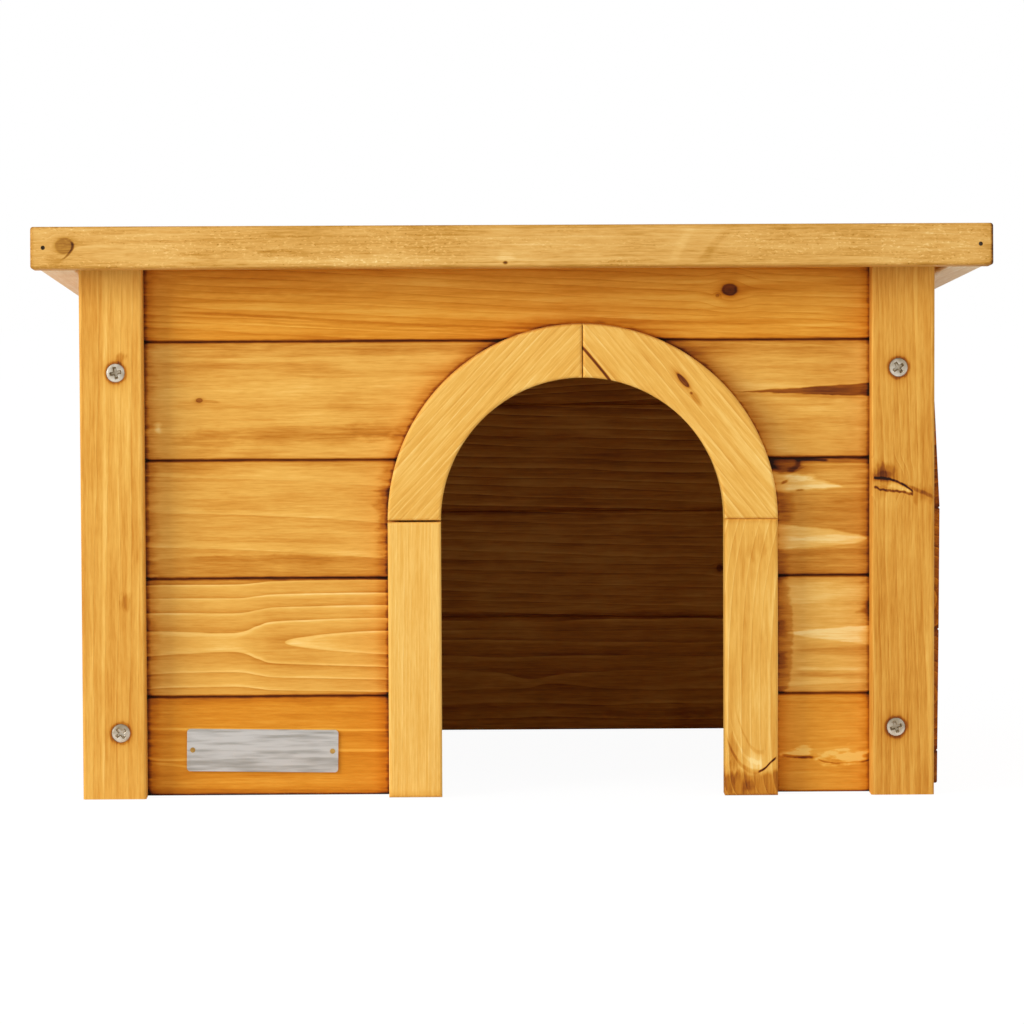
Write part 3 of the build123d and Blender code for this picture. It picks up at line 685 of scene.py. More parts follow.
# The boards that the photograph shows. Places on the front wall are x and z in millimetres, and on an
# upright piece z and x. On the fascia they are x and the height above its lower edge.
FRONT_WALL: dict[str, BoardLook] = {
    # Row 1, left: deeper orange, with two thin pale year lines that pass behind the plate
    "front_plank_1_left": BoardLook(
        Stain.ORANGE, 0.64, Figure(((-154.0, 88.0), (-52.0, 86.0)), 40.0, 30.0, 1.0), 0.05,
        streaks=0.1, mottle=0.08,
        marks=(
            Stroke(((-156.0, 28.6), (-120.0, 28.0), (-50.0, 27.4)), 0.8, 0.2, 4.0, 0.4),
            Stroke(((-156.0, 26.6), (-120.0, 26.2), (-50.0, 25.4)), 2.0, -0.06, 4.0, 0.4),
            Stroke(((-156.0, 16.6), (-144.0, 15.2), (-134.0, 16.2)), 0.8, 0.2, 4.0, 0.6),
            Stroke(((-156.0, 14.2), (-146.0, 13.2), (-134.0, 12.0)), 0.8, 0.14, 4.0, 0.6),
            Stroke(((-80.0, 18.9), (-50.0, 18.5)), 0.8, 0.18, 4.0, 0.4),
            Stroke(((-80.0, 17.0), (-50.0, 16.6)), 2.0, -0.06, 4.0, 0.4),
            PoolAndShade(0.0, 6.0, -0.08),
        ),
    ),
    # Row 1, right: orange, with a dark crack between pale torn fibres
    "front_plank_1_right": BoardLook(
        Stain.ORANGE, 0.76, Figure(80.0, 30.0, 24.0, 1.5), 0.06,
        streaks=0.08, mottle=0.12,
        marks=(
            Blotch(120.0, 16.4, 8.0, 2.2, 0.34, 2.5),
            Blotch(124.0, 18.4, 5.0, 1.6, 0.2, 3.0),
            Blotch(141.0, 15.0, 13.0, 4.2, 0.32, 3.0),
            Stroke(((113.0, 15.4), (120.0, 15.0), (128.0, 14.6)), 1.0, -0.55, 2.0, 1.6),
            Stroke(((128.0, 14.6), (140.0, 12.2), (152.0, 15.0)), 0.5, -0.3, 3.0, 1.6),
            Stroke(((113.0, 38.5), (152.0, 38.0)), 1.0, -0.08, 4.0),
        ),
    ),
    # Row 2, left: a pointed figure, where the cut ran close to the log's heart
    "front_plank_2_left": BoardLook(
        Stain.AMBER, 0.72,
        Figure(
            ((-154.0, 64.4), (-100.0, 64.9), (-52.0, 64.5)),
            (
                (-160.0, 9.0), (-135.0, 9.6), (-118.0, 9.8), (-108.0, 7.9), (-101.0, 5.7), (-84.0, 4.4),
                (-54.0, 1.6),
            ),
            5.3, 0.2, uneven=0.0,
        ),
        0.3,
        fibre=0.08, streaks=0.08, mottle=0.08,
    ),
    # Row 2, right: a pale wedge opening to the right, and a mottled brown edge by the jamb
    "front_plank_2_right": BoardLook(
        Stain.AMBER, 0.77, Figure(((110.0, 110.0), (152.0, 112.0)), 12.0, 17.0, 1.2), 0.1,
        streaks=0.08, mottle=0.08,
        marks=(
            Blotch(128.0, 84.0, 22.0, 8.0, 0.08),
            Tongue((154.0, 66.6), (115.0, 67.6), 4.6, 0.2, 0.7),
            Stroke(((118.0, 61.5), (136.0, 60.5), (152.0, 59.5)), 3.2, -0.12, 5.0),
            Stroke(((118.0, 52.6), (136.0, 52.3), (152.0, 52.0)), 1.0, 0.1, 5.0),
            Stroke(((118.0, 50.2), (136.0, 49.8), (152.0, 49.4)), 1.8, -0.12, 5.0),
            Blotch(112.6, 66.0, 6.6, 30.0, -0.2, 0.6, 0.8),
            Blotch(113.5, 70.0, 3.6, 6.0, -0.12, 2.4),
            Blotch(113.5, 56.0, 3.6, 5.0, -0.12, 2.4),
            Blotch(152.0, 78.0, 7.0, 6.0, -0.3, 2.0),
        ),
    ),
    # Row 3, left: even and light, with one wavy year line and a deeper band at the bottom
    "front_plank_3_left": BoardLook(
        Stain.AMBER, 0.71,
        Figure(
            ((-154.0, 180.2), (-106.0, 178.6), (-65.0, 176.2), (-52.0, 174.8)), 0.0, 15.0, 0.5, uneven=0.0
        ),
        0.13,
        streaks=0.05, mottle=0.1,
        marks=(
            Blotch(-100.0, 96.5, 75.0, 6.0, -0.13, 0.5, 0.8),
            Blotch(-52.0, 118.0, 7.0, 20.0, -0.14, 2.6),
            Blotch(-120.0, 124.0, 26.0, 5.0, -0.06),
            Blotch(-140.0, 138.0, 30.0, 4.0, -0.07),
            Stroke(((-154.0, 131.5), (-110.0, 132.3), (-60.0, 129.5)), 1.4, 0.06, 15.0),
            Stroke(((-154.0, 110.0), (-100.0, 108.0), (-60.0, 107.0)), 1.5, -0.05, 15.0),
        ),
    ),
    # Row 3, right: brown round a half knot, with two pale tongues
    "front_plank_3_right": BoardLook(
        Stain.AMBER, 0.575, Figure(40.0, 30.0, 17.0, 3.0), 0.06,
        streaks=0.08, mottle=0.12,
        marks=(
            Knot(115.0, 141.2, 6.2, 5.4, 0.42, reach=2.0, cut=RINGED_KNOT),
            Stroke(((119.0, 141.4), (126.0, 141.0), (134.0, 140.8)), 0.8, -0.35, 2.0),
            Tongue((108.0, 132.6), (140.0, 129.6), 5.6, 0.36, 0.7, 1.6),
            Blotch(121.0, 134.0, 8.0, 3.0, 0.12, 2.5),
            Stroke(((124.0, 129.9), (136.0, 129.6), (152.0, 130.2)), 1.0, 0.14, 4.0),
            Stroke(((113.0, 131.0), (117.0, 132.4)), 0.9, -0.4, 1.5),
            Stroke(((119.0, 128.0), (124.0, 128.4)), 0.6, -0.3, 2.0),
            Stroke(((120.0, 139.0), (152.0, 139.2)), 0.7, 0.14, 4.0),
            Blotch(138.0, 134.6, 18.0, 4.0, 0.07),
            Tongue((104.0, 108.8), (150.0, 107.4), 6.4, 0.32, 0.45, 1.2),
            Blotch(134.0, 107.6, 15.0, 2.2, 0.08, 1.5),
            Stroke(((113.0, 103.6), (140.0, 104.0), (148.0, 106.2)), 0.9, 0.08, 4.0),
            Blotch(116.0, 122.0, 5.0, 9.0, -0.12),
            Blotch(115.0, 98.0, 3.4, 6.0, -0.05, 3.0),
            Blotch(140.0, 120.0, 16.0, 8.0, -0.04),
        ),
    ),
    # Row 4: pale with soft streaks, a pin knot on the left and a grey-brown wedge on the right
    "front_plank_4": BoardLook(
        Stain.AMBER, 0.715, Figure(((-170.0, 118.0), (0.0, 126.0), (170.0, 120.0)), 26.0, 14.0, 2.0), 0.06,
        streaks=0.12, mottle=0.16,
        marks=(
            Knot(-131.7, 167.3, 1.3, 0.9, 0.4),
            Stroke(((-131.0, 167.2), (-122.0, 166.4)), 0.9, -0.16, 3.0),
            Tongue((156.0, 170.8), (92.0, 169.8), 3.2, -0.46, 0.9),
            Stroke(((93.0, 168.9), (122.0, 168.2), (151.0, 167.4)), 1.2, -0.12),
            Stroke(((-154.0, 187.0), (0.0, 187.6), (152.0, 187.0)), 3.0, -0.1, 20.0),
            Blotch(-90.0, 172.5, 50.0, 4.0, 0.07),
            Blotch(-90.0, 153.0, 60.0, 4.6, -0.1, 0.8, 0.5),
            Blotch(140.0, 163.0, 30.0, 4.0, 0.06),
            Stroke(((-154.0, 181.4), (-110.0, 181.8), (-70.0, 180.0)), 2.2, -0.1, 15.0),
            Blotch(-58.0, 154.5, 16.0, 6.0, -0.12),
            Blotch(-128.0, 151.0, 18.0, 7.0, -0.1),
            Blotch(-149.0, 155.7, 2.2, 3.2, 0.2, 2.5),
            Blotch(120.0, 180.0, 30.0, 4.0, -0.08),
            Blotch(130.0, 156.0, 24.0, 5.0, -0.09),
            Blotch(110.0, 146.0, 14.0, 3.0, 0.08),
        ),
    ),
    # Row 5: deep orange with fine dark streaks and one black knot; the browner band under the fascia is
    # painted shade from the fascia's overhang
    "front_plank_5": BoardLook(
        Stain.ORANGE, 0.72, Figure(((-170.0, 166.0), (170.0, 148.0)), 18.0, 3.1, 1.2, DARK_YEAR), 0.15,
        fibre=0.1, streaks=0.2, mottle=0.08,
        marks=(
            Knot(92.0, 212.9, 3.0, 2.4, 0.62, reach=5.0),
            Knot(86.7, 210.4, 0.7, 0.6, 0.3),
            Stroke(((93.0, 213.2), (110.0, 214.4), (152.0, 216.0)), 2.6, -0.12),
            Stroke(
                ((-150.0, 204.8), (-100.0, 202.4), (-60.0, 199.8), (-13.0, 197.7), (40.0, 196.8)),
                0.9, -0.2, 20.0,
            ),
            Stroke(((-120.0, 201.0), (-40.0, 196.4), (10.0, 195.0)), 0.7, -0.12, 20.0),
            Stroke(((-154.0, 207.0), (-60.0, 205.5), (60.0, 202.0), (150.0, 203.0)), 2.5, 0.08, 30.0),
            Stroke(((20.0, 199.5), (90.0, 197.5), (151.0, 198.5)), 1.2, 0.09, 20.0),
            # Painted shade under the fascia's overhang: two brown patches and a brown band along the plank's
            # top edge.
            Blotch(-110.0, 216.0, 60.0, 7.0, -0.1),
            Blotch(20.0, 216.0, 45.0, 5.0, -0.07),
            PoolAndShade(223.5, -6.0, -0.22),
        ),
    ),
}
OTHER_BOARDS: dict[str, BoardLook] = {
    # Front left: two tones that part near the middle, with fine straight grain
    "front_left_corner_strip": BoardLook(
        Stain.AMBER, 0.71, Figure(((0.0, -196.0), (220.0, -192.0)), -24.0, 3.4, 1.2), 0.1,
        streaks=0.12, mottle=0.07,
        marks=(
            Tongue((230.0, -177.0), (60.0, -178.0), 6.6, -0.05, 0.3, 1.2),
            Stroke(((0.0, -173.0), (120.0, -171.5), (225.0, -169.6)), 0.9, 0.09, 20.0, 0.5),
            Stroke(((20.0, -160.0), (100.0, -161.5), (160.0, -158.0)), 3.5, -0.08, 30.0),
            Blotch(84.0, -163.0, 6.0, 2.5, -0.16, 2.2),
            Knot(179.5, -166.1, 4.3, 4.3, 0.34, 0.0, cut=SCREW_STAIN),
            Knot(27.9, -165.3, 4.3, 4.3, 0.3, 0.0, cut=SCREW_STAIN),
            Blotch(185.5, -164.0, 4.0, 2.6, -0.2, 2.6),
            Blotch(110.0, -158.0, 16.0, 3.5, -0.08),
        ),
    ),
    # Front right: deeper, with a knot torn open in a crescent
    "front_right_corner_strip": BoardLook(
        Stain.AMBER, 0.63, Figure(((0.0, 196.0), (230.0, 190.0)), -20.0, 3.2, 1.4), 0.1,
        streaks=0.12, mottle=0.09,
        marks=(
            Knot(133.5, 156.0, 3.0, 4.0, 0.2, 0.8, 4.0),
            Stroke(((151.5, 131.8), (157.0, 131.4), (163.0, 129.6), (168.0, 127.4)),
                   1.7, 0.2, 1.5, 0.8, True),
            Stroke(((151.5, 133.9), (157.0, 133.6), (163.0, 131.6), (168.5, 127.6)),
                   0.8, -0.5, 0.6, 1.2, True),
            Stroke(((151.5, 130.0), (156.0, 129.0), (162.0, 128.2), (168.5, 126.8)),
                   0.8, -0.42, 0.6, 2.2, True),
            Stroke(((162.0, 131.5), (170.0, 128.8), (178.0, 125.0)), 1.3, -0.2, 3.0, 1.2, True),
            Blotch(136.0, 156.0, 6.0, 6.0, -0.24, 1.8),
            Blotch(127.0, 172.0, 5.0, 7.0, -0.12, 2.0),
            Blotch(124.0, 158.0, 7.0, 5.0, 0.06, 2.0),
            Stroke(((30.0, 171.0), (120.0, 172.0), (200.0, 170.0)), 1.6, -0.06, 30.0),
            Knot(180.3, 162.0, 4.3, 4.3, 0.34, 0.0, cut=SCREW_STAIN),
            Knot(28.7, 161.1, 4.3, 4.3, 0.34, 0.0, cut=SCREW_STAIN),
        ),
    ),
    # Pale, with fine straight grain
    "left_jamb": BoardLook(Stain.AMBER, 0.84, Figure(((0.0, -90.0), (117.0, -88.0)), 0.0, 1.7, 0.5), 0.09,
                     fibre=0.08, streaks=0.08, mottle=0.05, marks=(PoolAndShade(0.0, 4.0, -0.1, at_end=True),)),
    # Grain that flows round a brown knot at the foot, with a crack, and dimples near the top
    "right_jamb": BoardLook(
        Stain.AMBER, 0.77, Figure(((0.0, 70.0), (30.0, 66.0), (117.0, 74.0)), 0.0, 4.2, 0.9), 0.14,
        streaks=0.1, mottle=0.1,
        marks=(
            PoolAndShade(8.0, 3.5, -0.29, at_end=True, uneven=9.0),
            Blotch(9.0, 91.5, 9.0, 4.0, -0.1, 1.6, 0.5),
            Blotch(4.0, 99.0, 4.0, 4.0, -0.14, 2.0),
            Blotch(13.0, 101.5, 8.0, 6.5, 0.13, 1.4, 0.2),
            Stroke(((89.0, 27.0), (93.0, 17.0), (97.0, 12.0), (103.6, 10.0)), 1.6, -0.2, 1.6, 2.0, True),
            Stroke(((90.5, 34.0), (95.0, 21.0), (99.0, 15.5), (105.0, 14.0)), 1.4, 0.1, 2.0, 2.0, True),
            Stroke(((93.0, 38.0), (97.0, 26.0), (101.0, 19.5), (106.0, 18.5)), 1.4, -0.1, 2.0, 2.0, True),
            Stroke(((102.6, 9.9), (105.6, 11.4), (108.0, 13.8), (111.0, 16.4)),
                   0.8, -0.75, 1.2, 0.4, True),
            Blotch(18.0, 92.5, 12.0, 2.6, -0.16, 1.6),
            Blotch(106.0, 103.0, 7.0, 5.0, -0.08, 3.0),
            PoolAndShade(117.0, -3.0, -0.12, at_end=True),
        ),
    ),
    # Honey-coloured, with fine pits and an orange knot near its left end
    "roof_front_fascia": BoardLook(
        Stain.HONEY, 0.66, Figure(((-200.0, -24.0), (0.0, -20.0), (200.0, -26.0)), 4.0, 3.6, 1.4), 0.08,
        fibre=0.14, grit=0.12, streaks=0.12, mottle=0.16, pits=0.16,
        marks=(
            Knot(-185.9, 9.4, 3.4, 3.2, 0.26, 0.8, 3.0),
            Stroke(((3.2, -187.6), (6.0, -184.0), (9.5, -182.3), (11.5, -183.4)), 0.9, -0.28, 1.0, 0.3, True),
            Blotch(-190.0, 3.6, 5.0, 3.0, -0.1, 1.6),
            Blotch(-3.0, 1.6, 1.6, 1.2, -0.5, 1.0),
            Blotch(-3.0, 4.0, 5.0, 3.0, 0.12, 1.0),
            Blotch(-120.0, 4.0, 44.0, 2.6, 0.08, 2.5),
            Blotch(-120.0, 4.6, 40.0, 2.6, -0.12, 6.0, 0.0),
            Stroke(((0.0, 78.0), (9.0, 84.0), (17.0, 92.0)), 3.2, -0.07, 4.0, 2.0, True),
            Stroke(((0.0, 66.0), (9.0, 70.0), (17.0, 76.0)), 3.0, 0.07, 4.0, 2.0, True),
            Stroke(((-120.0, 3.0), (-70.0, 2.6), (60.0, 3.2)), 1.1, 0.08, 20.0),
            PoolAndShade(17.5, -1.6, -0.14, uneven=0.6),
            PoolAndShade(0.0, 1.4, -0.1, uneven=0.6),
            PoolAndShade(-200.0, 2.0, -0.2, at_end=True, uneven=0.5),
            PoolAndShade(200.0, -1.6, -0.5, at_end=True, uneven=0.3),
            PoolAndShade(200.0, -8.0, -0.1, at_end=True),
        ),
    ),
}


@dataclass
class FrontWall:
    """The front planks, with the darkening at their neighbours: partly pooled stain, partly painted shade."""

    door: Doorway
    edge_darkening_reach: float = 5.0
    left_end: float = field(init=False)
    right_end: float = field(init=False)
    lie: Lie = field(init=False)

    def __post_init__(self) -> None:
        """Reads where the corner strips bound the wall."""
        self.left_end = box_mm("front_left_corner_strip")[1].x
        self.right_end = box_mm("front_right_corner_strip")[0].x
        self.lie = Lie(X, Z, Vector((0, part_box("front_plank_1_left")[0].y, 0)))

    def around(self, name: str) -> tuple[Mark, ...]:
        """The darkening at a plank's joints, at the corner strips and at the door's trim: partly pooled
        stain, partly painted shade.
        """
        low, high = box_mm(name)
        top = high.z - TONGUE
        # A darker band along the plank's top, under the next plank's edge: partly pooled stain, partly
        # painted shade.
        under_joint = (PoolAndShade(top, -1.2, -0.44, uneven=0.5), PoolAndShade(top, -5.5, -0.13))
        return (
            *(under_joint if name != "front_plank_5" else ()),
            PoolAndShade(low.z, 1.3, -0.5, uneven=0.5),
            PoolAndShade(low.z, 3.5, -0.07),
            PoolAndShade(self.left_end, self.edge_darkening_reach + 2, -0.2, at_end=True, uneven=9.0),
            PoolAndShade(self.left_end, 2.2, -0.3, at_end=True, uneven=3.0),
            PoolAndShade(self.right_end, -self.edge_darkening_reach, -0.16, at_end=True, uneven=7.0),
            PoolAndShade(self.right_end, -1.6, -0.26, at_end=True, uneven=2.0),
            DoorPoolAndShade(self.door.middle, self.door.spring, self.door.outer, 7.0, -0.18),
            DoorPoolAndShade(self.door.middle, self.door.spring, self.door.outer, 1.6, -0.26),
        )

    def dress(self) -> None:
        """Dresses each plank."""
        for number, (name, look) in enumerate(FRONT_WALL.items()):
            look = replace(look, marks=look.marks + self.around(name))
            stain_board(name, self.lie, look, 11.0 * number)


@dataclass
class PlainWalls:
    """The back and side walls, whose planks the photograph shows little or nothing of."""

    seed: int = 31
    # How much darker the ends of the side planks are: partly stain in the end grain, partly painted shade.
    end_dark: float = -0.16
    seen_knots: tuple[Mark, ...] = (Knot(101.5, 75.9, 1.4, 1.4, 0.3), Knot(105.3, 69.3, 1.2, 1.2, 0.3))

    def ends(self, low: Vector, high: Vector) -> tuple[Mark, ...]:
        """The dark ends of a side plank: partly the stain that end grain drinks, partly painted shade where
        the ends sit in shadow beside the corner strips.
        """
        lines = ((low.y, 1.0), (high.y, -1.0), (-high.y, 1.0), (-low.y, -1.0))
        return tuple(PoolAndShade(y, reach, self.end_dark, at_end=True, uneven=0.4) for y, reach in lines)

    def dress(self) -> None:
        """Dresses each plank with a figure of its own."""
        chance = random.Random(self.seed)
        back_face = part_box("back_plank_1")[0].y
        lies = {
            "back": Lie(X, Z, Vector((0, back_face, 0))),
            "left": Lie(-Y, Z, Vector((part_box("left_plank_2")[0].x, 0, 0))),
            "right": Lie(Y, Z, Vector((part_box("right_plank_5")[1].x, 0, 0))),
        }
        for wall, lie in lies.items():
            for row in range(1, 6):
                name = f"{wall}_plank_{row}"
                low, high = box_mm(name)
                length = max(high.x - low.x, high.y - low.y)
                top = high.z - (TONGUE if row < 5 else 0.0)
                # The back planks get a darker tone than the side planks: painted shade, standing in for the
                # dim inside of the hut.
                tone = chance.uniform(0.5, 0.56) if wall == "back" else chance.uniform(0.6, 0.7)
                look = plain_look(chance, low.z, top, length, tone=tone)
                extra = self.ends(low, high) if wall != "back" else ()
                extra += self.seen_knots if name == "back_plank_2" else ()
                look = replace(look, marks=look.marks + extra)
                stain_board(name, lie, look, chance.uniform(0, 900))


@dataclass
class CornerPosts:
    """The corner strips outside and the battens inside. Grain runs up, and across is x."""

    seed: int = 47

    def dress(self) -> None:
        """Dresses the four strips and the four battens."""
        chance = random.Random(self.seed)
        for end in ("front", "back"):
            for side in ("left", "right"):
                for part in ("corner_strip", "corner_batten"):
                    name = f"{end}_{side}_{part}"
                    low, high = box_mm(name)
                    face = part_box(name)[0].y if end == "front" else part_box(name)[1].y
                    lie = Lie(Z, X, Vector((0, face, 0)))
                    look = plain_look(chance, low.x, high.x, high.z, rings=0.1)
                    stain_board(name, lie, OTHER_BOARDS.get(name, look), chance.uniform(0, 900))


@dataclass
class DoorTrim:
    """The two jambs and the two quarter arcs, of paler wood. Each arc was sawn from a board at a slant."""

    door: Doorway
    left_slant: float = 47.0
    right_slant: float = -50.0

    def arc(self, side: str) -> tuple[Lie, BoardLook]:
        """How an arc lies and looks.

        Args:
            side: left or right.

        Returns:
            The arc's lie, with the slanting grain, and its look.
        """
        slant = math.radians(self.left_slant if side == "left" else self.right_slant)
        along = Vector((math.cos(slant), 0, math.sin(slant)))
        across = Vector((-math.sin(slant), 0, math.cos(slant)))
        origin = Vector((self.door.middle * MM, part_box(f"{side}_door_arc")[0].y, self.door.spring * MM))
        lie = Lie(along, across, origin)
        if side == "left":
            figure = Figure(-70.0, 10.0, 3.4, 1.2)
            return lie, BoardLook(Stain.AMBER, 0.785, figure, 0.13, streaks=0.1, mottle=0.06)
        knot = lie.spot(71.6, 175.2)
        tail = lie.spot(76.9, 168.0)
        marks = (
            Knot(*knot, 3.4, 1.0, 0.62, 0.7, 4.0),
            Blotch(*tail, 5.0, 2.0, -0.2, 1.4),
            Blotch(*lie.spot(75.0, 170.0), 1.0, 0.8, -0.3, 0.6),
            Stroke(
                (lie.spot(28.5, 190.0), lie.spot(34.0, 184.0), lie.spot(41.5, 174.6)), 0.9, -0.62, 1.2, 0.3
            ),
        )
        figure = Figure(-40.0, ((-60.0, 4.0), (60.0, 22.0)), 5.2, 1.6)
        return lie, BoardLook(Stain.AMBER, 0.795, figure, 0.12, streaks=0.1, mottle=0.07, marks=marks)

    def dress(self) -> None:
        """Dresses the four pieces."""
        for number, name in enumerate(("left_jamb", "right_jamb")):
            lie = Lie(Z, X, Vector((0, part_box(name)[0].y, 0)))
            stain_board(name, lie, OTHER_BOARDS[name], 5.0 + number)
        for number, side in enumerate(("left", "right")):
            lie, look = self.arc(side)
            name = f"{side}_door_arc"
            stain_board(name, lie, look, 17.0 + number)


@dataclass
class RoofLid:
    """The fascia, the other three battens and the boards between them, all at the roof's slope."""

    seed: int = 83
    width: float = 400.0
    height: float = 17.5
    fascia_depth: float = 15.0
    pitch: float = 50.0
    slope: float = field(init=False)
    front: Vector = field(init=False)

    def __post_init__(self) -> None:
        """Reads the slope off the fascia and the rear batten. The fascia's lower edge is the origin."""
        low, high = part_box("roof_front_fascia")
        back_low, back_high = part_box("roof_rear_batten")
        self.slope = math.atan2(high.z - back_high.z, back_high.y - high.y)
        self.front = Vector((0.0, low.y, low.z + (high.y - low.y) * math.sin(self.slope)))

    def lies(self) -> dict[str, Lie]:
        """How the pieces of each kind lie."""
        down = Vector((0, math.cos(self.slope), -math.sin(self.slope)))
        up = Vector((0, math.sin(self.slope), math.cos(self.slope)))
        return {
            "crossways": Lie(X, up, self.front),
            "endways": Lie(down, up, self.front),
            "boards": Lie(X, down, self.front),
        }

    def dress(self) -> None:
        """Dresses every piece of the roof."""
        chance = random.Random(self.seed)
        lies = self.lies()
        looks = {
            "roof_front_fascia": ("crossways", OTHER_BOARDS["roof_front_fascia"]),
            "roof_rear_batten": (
                "crossways", plain_look(chance, 0.0, self.height, self.width, stain=Stain.HONEY, pits=0.1)
            ),
        }
        for side in ("left", "right"):
            look = plain_look(chance, 0.0, self.height, 280.0, stain=Stain.HONEY, tone=0.92, bare_below=0.9)
            looks[f"roof_{side}_batten"] = ("endways", look)
        start = self.fascia_depth
        for number in range(1, 7):
            name = f"roof_board_{number}"
            low, high = box_mm(name)
            reach = (high.y - low.y - TONGUE) / math.cos(self.slope)
            looks[name] = ("boards", plain_look(chance, start, start + reach, self.width))
            start += self.pitch
        for name, (kind, look) in looks.items():
            stain_board(name, lies[kind], look, chance.uniform(0, 900))


@dataclass
class PanelScrews:
    """Countersunk wood screws with a cross recess, in millimetres, each driven home at its own turn."""

    radius: float = 4.0
    crown: float = 0.45
    rim: float = 0.35
    wing: float = 0.75
    arm: float = 2.6
    depth: float = 2.6
    shank: float = 1.9
    length: float = 34.0
    point: float = 5.0
    tip: float = 0.2
    taper: float = 0.7
    sharp: float = 0.6
    edge_round: float = 0.14
    sink: float = 0.3
    front_spots: Points = ((-165.25, 27.9), (-166.15, 179.5), (161.15, 28.7), (162.05, 180.3))
    back_spots: Points = ((-165.65, 28.0), (-165.65, 165.0), (161.65, 28.0), (161.65, 165.0))
    front_turns: tuple[float, ...] = (38.0, 12.0, 20.0, 33.0)
    back_turns: tuple[float, ...] = (5.0, 61.0, 27.0, 44.0)

    def head(self, screw: bmesh.types.BMesh) -> list[bmesh.types.BMEdge]:
        """Shapes the crowned disc and its cross recess.

        Args:
            screw: an empty mesh.

        Returns:
            The disc's outer edges.
        """
        bmesh.ops.create_grid(screw, x_segments=5, y_segments=5, size=1.0)
        levels = (-self.radius, -self.arm, -self.wing, self.wing, self.arm, self.radius)
        outer = set()
        for point in screw.verts:
            column, row = (round((value + 1) * 2.5) for value in point.co.xy)
            point.co = (levels[column], levels[row], 0.0)
            if {column, row} & {0, 5}:
                outer.add(point)
                point.co *= self.radius / point.co.length
            point.co.z = self.crown * (1 - (point.co.xy.length / self.radius) ** 2)
        cross = [
            face for face in screw.faces
            if min(abs(c) for c in face.calc_center_median().xy) < self.wing
            and max(abs(c) for c in face.calc_center_median().xy) < self.arm
        ]
        sunk = bmesh.ops.extrude_face_region(screw, geom=cross)["geom"]
        bmesh.ops.delete(screw, geom=cross, context="FACES_ONLY")
        floor = [part for part in sunk if isinstance(part, bmesh.types.BMVert)]
        bmesh.ops.translate(screw, verts=floor, vec=(0, 0, -self.depth))
        bmesh.ops.scale(screw, verts=floor, vec=(self.taper, self.taper, 1.0))
        return [edge for edge in screw.edges if outer.issuperset(edge.verts)]

    def body(self, screw: bmesh.types.BMesh, edges: list[bmesh.types.BMEdge]) -> None:
        """Draws the rim down into the cone, the shank and the point.

        Args:
            screw: the mesh with its head.
            edges: the head's outer edges.
        """
        cone = self.radius - self.shank
        stations = (
            (self.radius, -self.rim),
            (self.shank, -self.rim - cone),
            (self.shank, self.point - self.length),
            (self.tip, -self.length),
        )
        for reach, height in stations:
            drawn = bmesh.ops.extrude_edge_only(screw, edges=edges)["geom"]
            edges = [part for part in drawn if isinstance(part, bmesh.types.BMEdge)]
            for point in {end for edge in edges for end in edge.verts}:
                across = point.co.xy.normalized() * reach
                point.co = (across.x, across.y, height)
        bmesh.ops.contextual_create(screw, geom=edges)

    def blank(self) -> bmesh.types.BMesh:
        """One screw along -Z with its rim at z = 0."""
        screw = bmesh.new()
        self.body(screw, self.head(screw))
        bmesh.ops.recalc_face_normals(screw, faces=screw.faces)
        edges = [edge for edge in screw.edges if edge.is_manifold and edge.calc_face_angle() > self.sharp]
        bmesh.ops.bevel(
            screw, geom=edges, offset=self.edge_round, offset_type="OFFSET", affect="EDGES", segments=2,
            profile=0.5, material=-1,
        )
        for face in screw.faces:
            face.smooth = True
        return screw

    def group(
        self, name: str, body_y: float, outwards: int, spots: Points, turns: tuple[float, ...]
    ) -> bpy.types.Object:
        """The four screws of one wall.

        Args:
            name: the piece's name.
            body_y: the y of the face that they are sunk into, in metres.
            outwards: -1 for the front wall and 1 for the back.
            spots: their x and z.
            turns: their turns in degrees.

        Returns:
            The finished piece.
        """
        mesh = bpy.data.meshes.new(name)
        for (x, z), turn in zip(spots, turns):
            screw = self.blank()
            place = (
                Matrix.Translation((x * MM, body_y - outwards * self.sink * MM, z * MM))
                @ Matrix.Rotation(math.radians(-90 * outwards), 4, "X")
                @ Matrix.Rotation(math.radians(turn), 4, "Z")
                @ Matrix.Scale(MM, 4)
            )
            bmesh.ops.transform(screw, matrix=place, verts=screw.verts)
            screw.from_mesh(mesh)
            screw.to_mesh(mesh)
            screw.free()
        piece = bpy.data.objects.new(name, mesh)
        bpy.context.scene.collection.objects.link(piece)
        mesh.materials.append(ZINC.material())
        return piece

    def dress(self) -> None:
        """Makes the front and the back four in place of the plain ones."""
        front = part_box("front_left_corner_strip")[0].y
        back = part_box("back_left_corner_strip")[1].y
        walls = (
            ("front", front, -1, self.front_spots, self.front_turns),
            ("back", back, 1, self.back_spots, self.back_turns),
        )
        for end, body_y, outwards, spots, turns in walls:
            piece = self.group(f"{end}_countersunk_screws", body_y, outwards, spots, turns)
            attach(piece, "hut")
            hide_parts(f"{end}_panel_screws")
            log.info("%s: zinc_plated_steel", piece.name)


@dataclass
class Hardware:
    """The name plate, its pins, the nails and the hinges."""

    def dress(self) -> None:
        """Dresses every metal piece."""
        dress(ALUMINIUM.material(), "name_plate")
        dress(BRASS.material(), "name_plate_nails")
        dress(DULL_STEEL.material(), "side_plank_nails", "roof_nails")
        hinges = [
            f"{side}_hinge_{part}" for side in ("left", "right") for part in ("wall_leaf", "roof_leaf", "pin")
        ]
        dress(BRIGHT_ZINC.material(), "hinge_wall_screws", "hinge_roof_screws", *hinges)


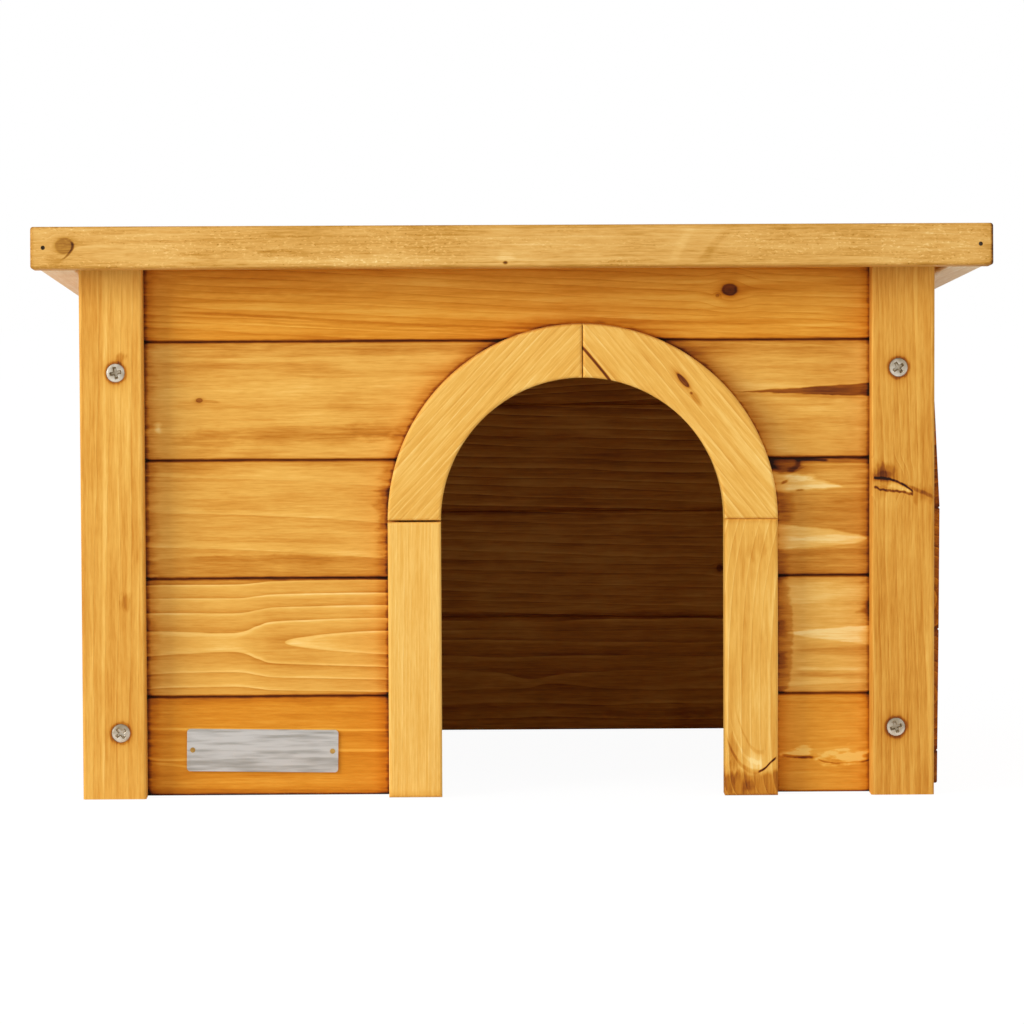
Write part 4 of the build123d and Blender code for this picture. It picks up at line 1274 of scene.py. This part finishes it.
@dataclass
class Studio:
    """A white floor and sky, soft lights, and the camera where the photograph was taken from."""

    camera_place: tuple[float, float, float] = (-0.0349, -2.2827, 0.2652)
    camera_turn: float = 0.923
    camera_dip: float = 3.868
    camera_roll: float = -0.238
    lens: float = 179.82
    sky_light: float = 0.6
    floor_white: float = 0.92
    floor_glow: float = 1.04
    floor_half: float = 6.0
    floor_drop: float = 0.2
    aim_height: float = 0.12

    def camera(self) -> None:
        """Sets the camera by its turn to the right, its dip and its roll, in degrees."""
        data = bpy.data.cameras.new("camera")
        data.sensor_width = 36.0
        data.lens = self.lens
        data.clip_start = 0.05
        camera = bpy.data.objects.new("camera", data)
        turn = Matrix.Rotation(-math.radians(self.camera_turn), 4, "Z")
        dip = Matrix.Rotation(math.radians(90 - self.camera_dip), 4, "X")
        roll = Matrix.Rotation(math.radians(self.camera_roll), 4, "Z")
        camera.matrix_world = Matrix.Translation(self.camera_place) @ turn @ dip @ roll
        bpy.context.scene.collection.objects.link(camera)
        bpy.context.scene.camera = camera

    def softbox(self, name: str, place: tuple[float, float, float], size: float, watts: float) -> None:
        """A square softbox that faces the hut's middle."""
        data = bpy.data.lights.new(name, "AREA")
        data.size = size
        data.energy = watts
        light = bpy.data.objects.new(name, data)
        light.location = place
        aim = Vector((0.0, 0.0, self.aim_height)) - Vector(place)
        light.rotation_euler = aim.to_track_quat("-Z", "Y").to_euler()
        light.visible_camera = False
        bpy.context.scene.collection.objects.link(light)

    def sky(self) -> None:
        """White where the camera looks, and dimmer as a light."""
        world = bpy.data.worlds.new("white_studio")
        world.use_nodes = True
        world.node_tree.nodes.clear()
        wiring = Wiring(world.node_tree)
        lit = wiring.add(Kind.SKY, (1.0, 1.0, 1.0, 1.0), self.sky_light)
        seen = wiring.add(Kind.SKY, (1.0, 1.0, 1.0, 1.0), 1.0)
        wiring.add(Kind.WORLD, wiring.add(Kind.EITHER, wiring.add(Kind.RAY), lit, seen))
        bpy.context.scene.world = world

    def floor(self) -> None:
        """A sheet of white paper, lit so brightly that it keeps only a trace of the hut's shadow."""
        mesh = bpy.data.meshes.new("paper_floor")
        sheet = bmesh.new()
        bmesh.ops.create_grid(sheet, x_segments=1, y_segments=1, size=self.floor_half)
        bmesh.ops.translate(sheet, vec=(0.0, 0.0, -self.floor_drop * MM), verts=sheet.verts)
        sheet.to_mesh(mesh)
        sheet.free()
        floor = bpy.data.objects.new("paper_floor", mesh)
        material, wiring = new_material("white_studio_paper")
        paper = wiring.add(Kind.SHADER, linear("#f4f4f4"), 0.0, 0.9)
        white = wiring.add(Kind.GLOW, (1.0, 1.0, 1.0, 1.0), self.floor_glow)
        seen = wiring.add(Kind.MULTIPLY, wiring.add(Kind.RAY), self.floor_white)
        wiring.add(Kind.SURFACE, wiring.add(Kind.EITHER, seen, paper, white))
        mesh.materials.append(material)
        bpy.context.scene.collection.objects.link(floor)

    def build(self) -> None:
        """Sets up the camera, the sky, the floor and the lights."""
        self.camera()
        self.sky()
        self.floor()
        self.softbox("left_softbox", (-2.5, -1.7, 1.2), 1.5, 62.0)
        self.softbox("right_softbox", (2.4, -1.9, 1.9), 1.6, 12.0)
        bpy.context.scene.view_settings.view_transform = "Standard"


def main() -> None:
    """Builds and dresses everything."""
    logging.basicConfig(level=logging.INFO, format="%(message)s")
    door = Doorway.measured()
    Studio().build()
    wood = (FrontWall(door), PlainWalls(), CornerPosts(), DoorTrim(door), RoofLid())
    for assembly in (*wood, PanelScrews(), Hardware()):
        assembly.dress()


if __name__ == "__main__":
    main()
